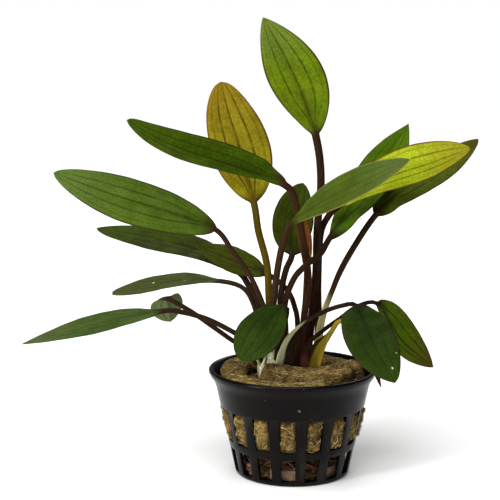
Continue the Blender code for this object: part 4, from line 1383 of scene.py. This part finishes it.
def pot_surface():
    """The pot's mesh: walls and floor with every window and slot cut through, and their side faces."""
    angles, kinds = pot_stations()
    count = len(angles)
    names, profile = pot_profile()
    points = [(r * math.cos(a), r * math.sin(a), z) for r, z in profile for a in angles]
    faces = [list(range(count))[::-1], list(range((len(profile) - 1) * count, len(profile) * count))]

    def is_window(gap):
        return kinds[gap % count][1]

    def is_floor_slot(gap):
        column, window = kinds[gap % count]
        return window or column % 2 == 1

    windows = [
        (["lower sill", "lower middle", "lower head"], is_window),
        (["upper sill", "upper middle", "upper head"], is_window),
    ]
    openings = [(["under hub", "under slot"], ["floor hub", "floor slot"], is_floor_slot)]
    openings += [(rows, [f"inner {row}" for row in rows], is_open) for rows, is_open in windows]

    def corner(name, gap):
        return names.index(name) * count + gap % count

    def between(lower, upper, gap):
        return [corner(lower, gap), corner(lower, gap + 1), corner(upper, gap + 1), corner(upper, gap)]

    open_pairs = {}
    for outer, inner, is_open in openings:
        for rows in (outer, inner):
            for low, high in zip(rows, rows[1:]):
                open_pairs[frozenset((low, high))] = is_open
    for lower, upper in zip(names, names[1:]):
        is_open = open_pairs.get(frozenset((lower, upper)))
        for gap in range(count):
            if is_open is None or not is_open(gap):
                faces.append(between(lower, upper, gap))
    for outer, inner, is_open in openings:
        for gap in range(count):
            if not is_open(gap):
                continue
            for low, high in ((outer[0], inner[0]), (outer[-1], inner[-1])):
                faces.append(between(low, high, gap))
            for edge, neighbour in ((gap, gap - 1), (gap + 1, gap + 1)):
                if is_open(neighbour):
                    continue
                for i in range(len(outer) - 1):
                    quad = (outer[i], outer[i + 1], inner[i + 1], inner[i])
                    faces.append([corner(name, edge) for name in quad])
    return points, faces


class SWORD_OT_net_pot(bpy.types.Operator):
    """Make the black net pot, with rounded edges on its bars, windows and rim"""

    bl_idname = "sword.net_pot"
    bl_label = "Net pot"

    def execute(self, context):
        values = context.scene.sword_pot
        points, faces = pot_surface()
        pot = add_piece("net_pot_shell", points, faces, pot_plastic(values), ["net_pot"])
        bpy.context.view_layer.objects.active = pot
        bpy.ops.object.mode_set(mode="EDIT")
        bpy.ops.mesh.select_all(action="SELECT")
        bpy.ops.mesh.normals_make_consistent(inside=False)
        bpy.ops.object.mode_set(mode="OBJECT")
        round_edges = pot.modifiers.new("rounded edges", "BEVEL")
        round_edges.width = values.edge_radius
        round_edges.segments = EDGE_SEGMENTS
        round_edges.angle_limit = math.radians(EDGE_ANGLE_DEG)
        round_edges.harden_normals = False
        return {"FINISHED"}


def floor_material(colour):
    paint = Paint("pale floor")
    paint.set(Base_Color=colour, Roughness=0.9)
    return paint.material


def add_light(name, kind, place, target, size, power):
    light = bpy.data.lights.new(name, kind)
    light.energy = power
    if kind == "SUN":
        light.angle = size
    else:
        light.size = size
    lamp = bpy.data.objects.new(name, light)
    bpy.context.scene.collection.objects.link(lamp)
    lamp.location = place
    lamp.rotation_euler = (Vector(target) - Vector(place)).to_track_quat("-Z", "Y").to_euler()
    return lamp


def set_room(strength):
    """A pale room: white to the camera, and softer light on the plant."""
    world = bpy.data.worlds.new("pale room")
    bpy.context.scene.world = world
    world.use_nodes = True
    nodes = world.node_tree.nodes
    links = world.node_tree.links
    seen = nodes.new("ShaderNodeLightPath")
    amount = nodes.new("ShaderNodeMapRange")
    amount.inputs["To Min"].default_value = strength
    amount.inputs["To Max"].default_value = 1.0
    links.new(seen.outputs["Is Camera Ray"], amount.inputs["Value"])
    nodes["Background"].inputs["Color"].default_value = (1, 1, 1, 1)
    links.new(amount.outputs["Result"], nodes["Background"].inputs["Strength"])


class SWORD_OT_stage(bpy.types.Operator):
    """Make the camera, the pale floor and the soft studio lights"""

    bl_idname = "sword.stage"
    bl_label = "Stage"

    def execute(self, context):
        values = context.scene.sword_stage
        floor_mesh = bpy.data.meshes.new("floor")
        signs = ((-1, -1), (1, -1), (1, 1), (-1, 1))
        corners = [(FLOOR_HALF * x, FLOOR_HALF * y, 0) for x, y in signs]
        floor_mesh.from_pydata(corners, [], [(0, 1, 2, 3)])
        floor_mesh.materials.append(floor_material(values.floor))
        floor = bpy.data.objects.new("floor", floor_mesh)
        context.scene.collection.objects.link(floor)

        add_light("key light", "SUN", KEY_PLACE, PLANT_MIDDLE, values.key_spread, values.key)
        add_light("back light", "AREA", BACK_PLACE, PLANT_MIDDLE, BACK_SIZE, values.back)
        strip = add_light("strip light", "AREA", STRIP_PLACE, STRIP_TARGET, STRIP_WIDTH, values.strip)
        strip.data.shape = "RECTANGLE"
        strip.data.size_y = STRIP_LENGTH
        set_room(values.sky)

        camera = bpy.data.objects.new("camera", bpy.data.cameras.new("camera"))
        context.scene.collection.objects.link(camera)
        camera.location = values.camera_place
        camera.rotation_euler = (math.radians(90) - values.camera_pitch, 0, 0)
        camera.data.lens = values.lens
        camera.data.sensor_width = SENSOR_WIDTH
        camera.data.clip_start = 0.01
        context.scene.camera = camera
        context.scene.view_settings.view_transform = "Standard"
        return {"FINISHED"}


class SWORD_PT_panel(bpy.types.Panel):
    """Sizes and colours of the plant, and the steps that build it"""

    bl_idname = "SWORD_PT_panel"
    bl_label = "Sword plant"
    bl_space_type = "VIEW_3D"
    bl_region_type = "UI"
    bl_category = "Sword plant"

    def draw(self, context):
        for operator, groups in STEPS:
            box = self.layout.box()
            box.operator(operator.bl_idname)
            for group in groups:
                look = LOOKS.get(group.removeprefix("sword_look_"))
                if look:
                    box.label(text=look.title)
                values = getattr(context.scene, group)
                for key in values.__annotations__:
                    box.prop(values, key)


STEPS = [
    (SWORD_OT_stage, ["sword_stage"]),
    (SWORD_OT_net_pot, ["sword_pot"]),
    (SWORD_OT_rock_wool, ["sword_wool"]),
    (SWORD_OT_roots, ["sword_roots"]),
    (SWORD_OT_crowns, ["sword_crown"]),
    (SWORD_OT_leaves, ["sword_leaves", *[f"sword_look_{key}" for key in LOOKS]]),
]
GROUPS = {
    "sword_leaves": SWORD_PG_leaves,
    "sword_crown": SWORD_PG_crown,
    "sword_wool": SWORD_PG_wool,
    "sword_roots": SWORD_PG_roots,
    "sword_pot": SWORD_PG_pot,
    "sword_stage": SWORD_PG_stage,
    **{f"sword_look_{key}": made for key, made in LOOK_CLASSES.items()},
}
OPERATORS = [operator for operator, _ in STEPS]


def register():
    for made in (*GROUPS.values(), *OPERATORS, SWORD_PT_panel):
        bpy.utils.register_class(made)
    for name, group in GROUPS.items():
        setattr(bpy.types.Scene, name, bpy.props.PointerProperty(type=group))


def unregister():
    for name in GROUPS:
        delattr(bpy.types.Scene, name)
    for made in (SWORD_PT_panel, *reversed(OPERATORS), *reversed(list(GROUPS.values()))):
        bpy.utils.unregister_class(made)


def main():
    for item in list(bpy.data.objects):
        if "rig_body" not in item and item.type in {"MESH", "LIGHT", "CAMERA"}:
            bpy.data.objects.remove(item, do_unlink=True)
    register()
    for operator in OPERATORS:
        group, name = operator.bl_idname.split(".")
        if getattr(getattr(bpy.ops, group), name)() != {"FINISHED"}:
            raise RuntimeError(f"{operator.bl_label} wasn't made")


if __name__ == "__main__":
    main()
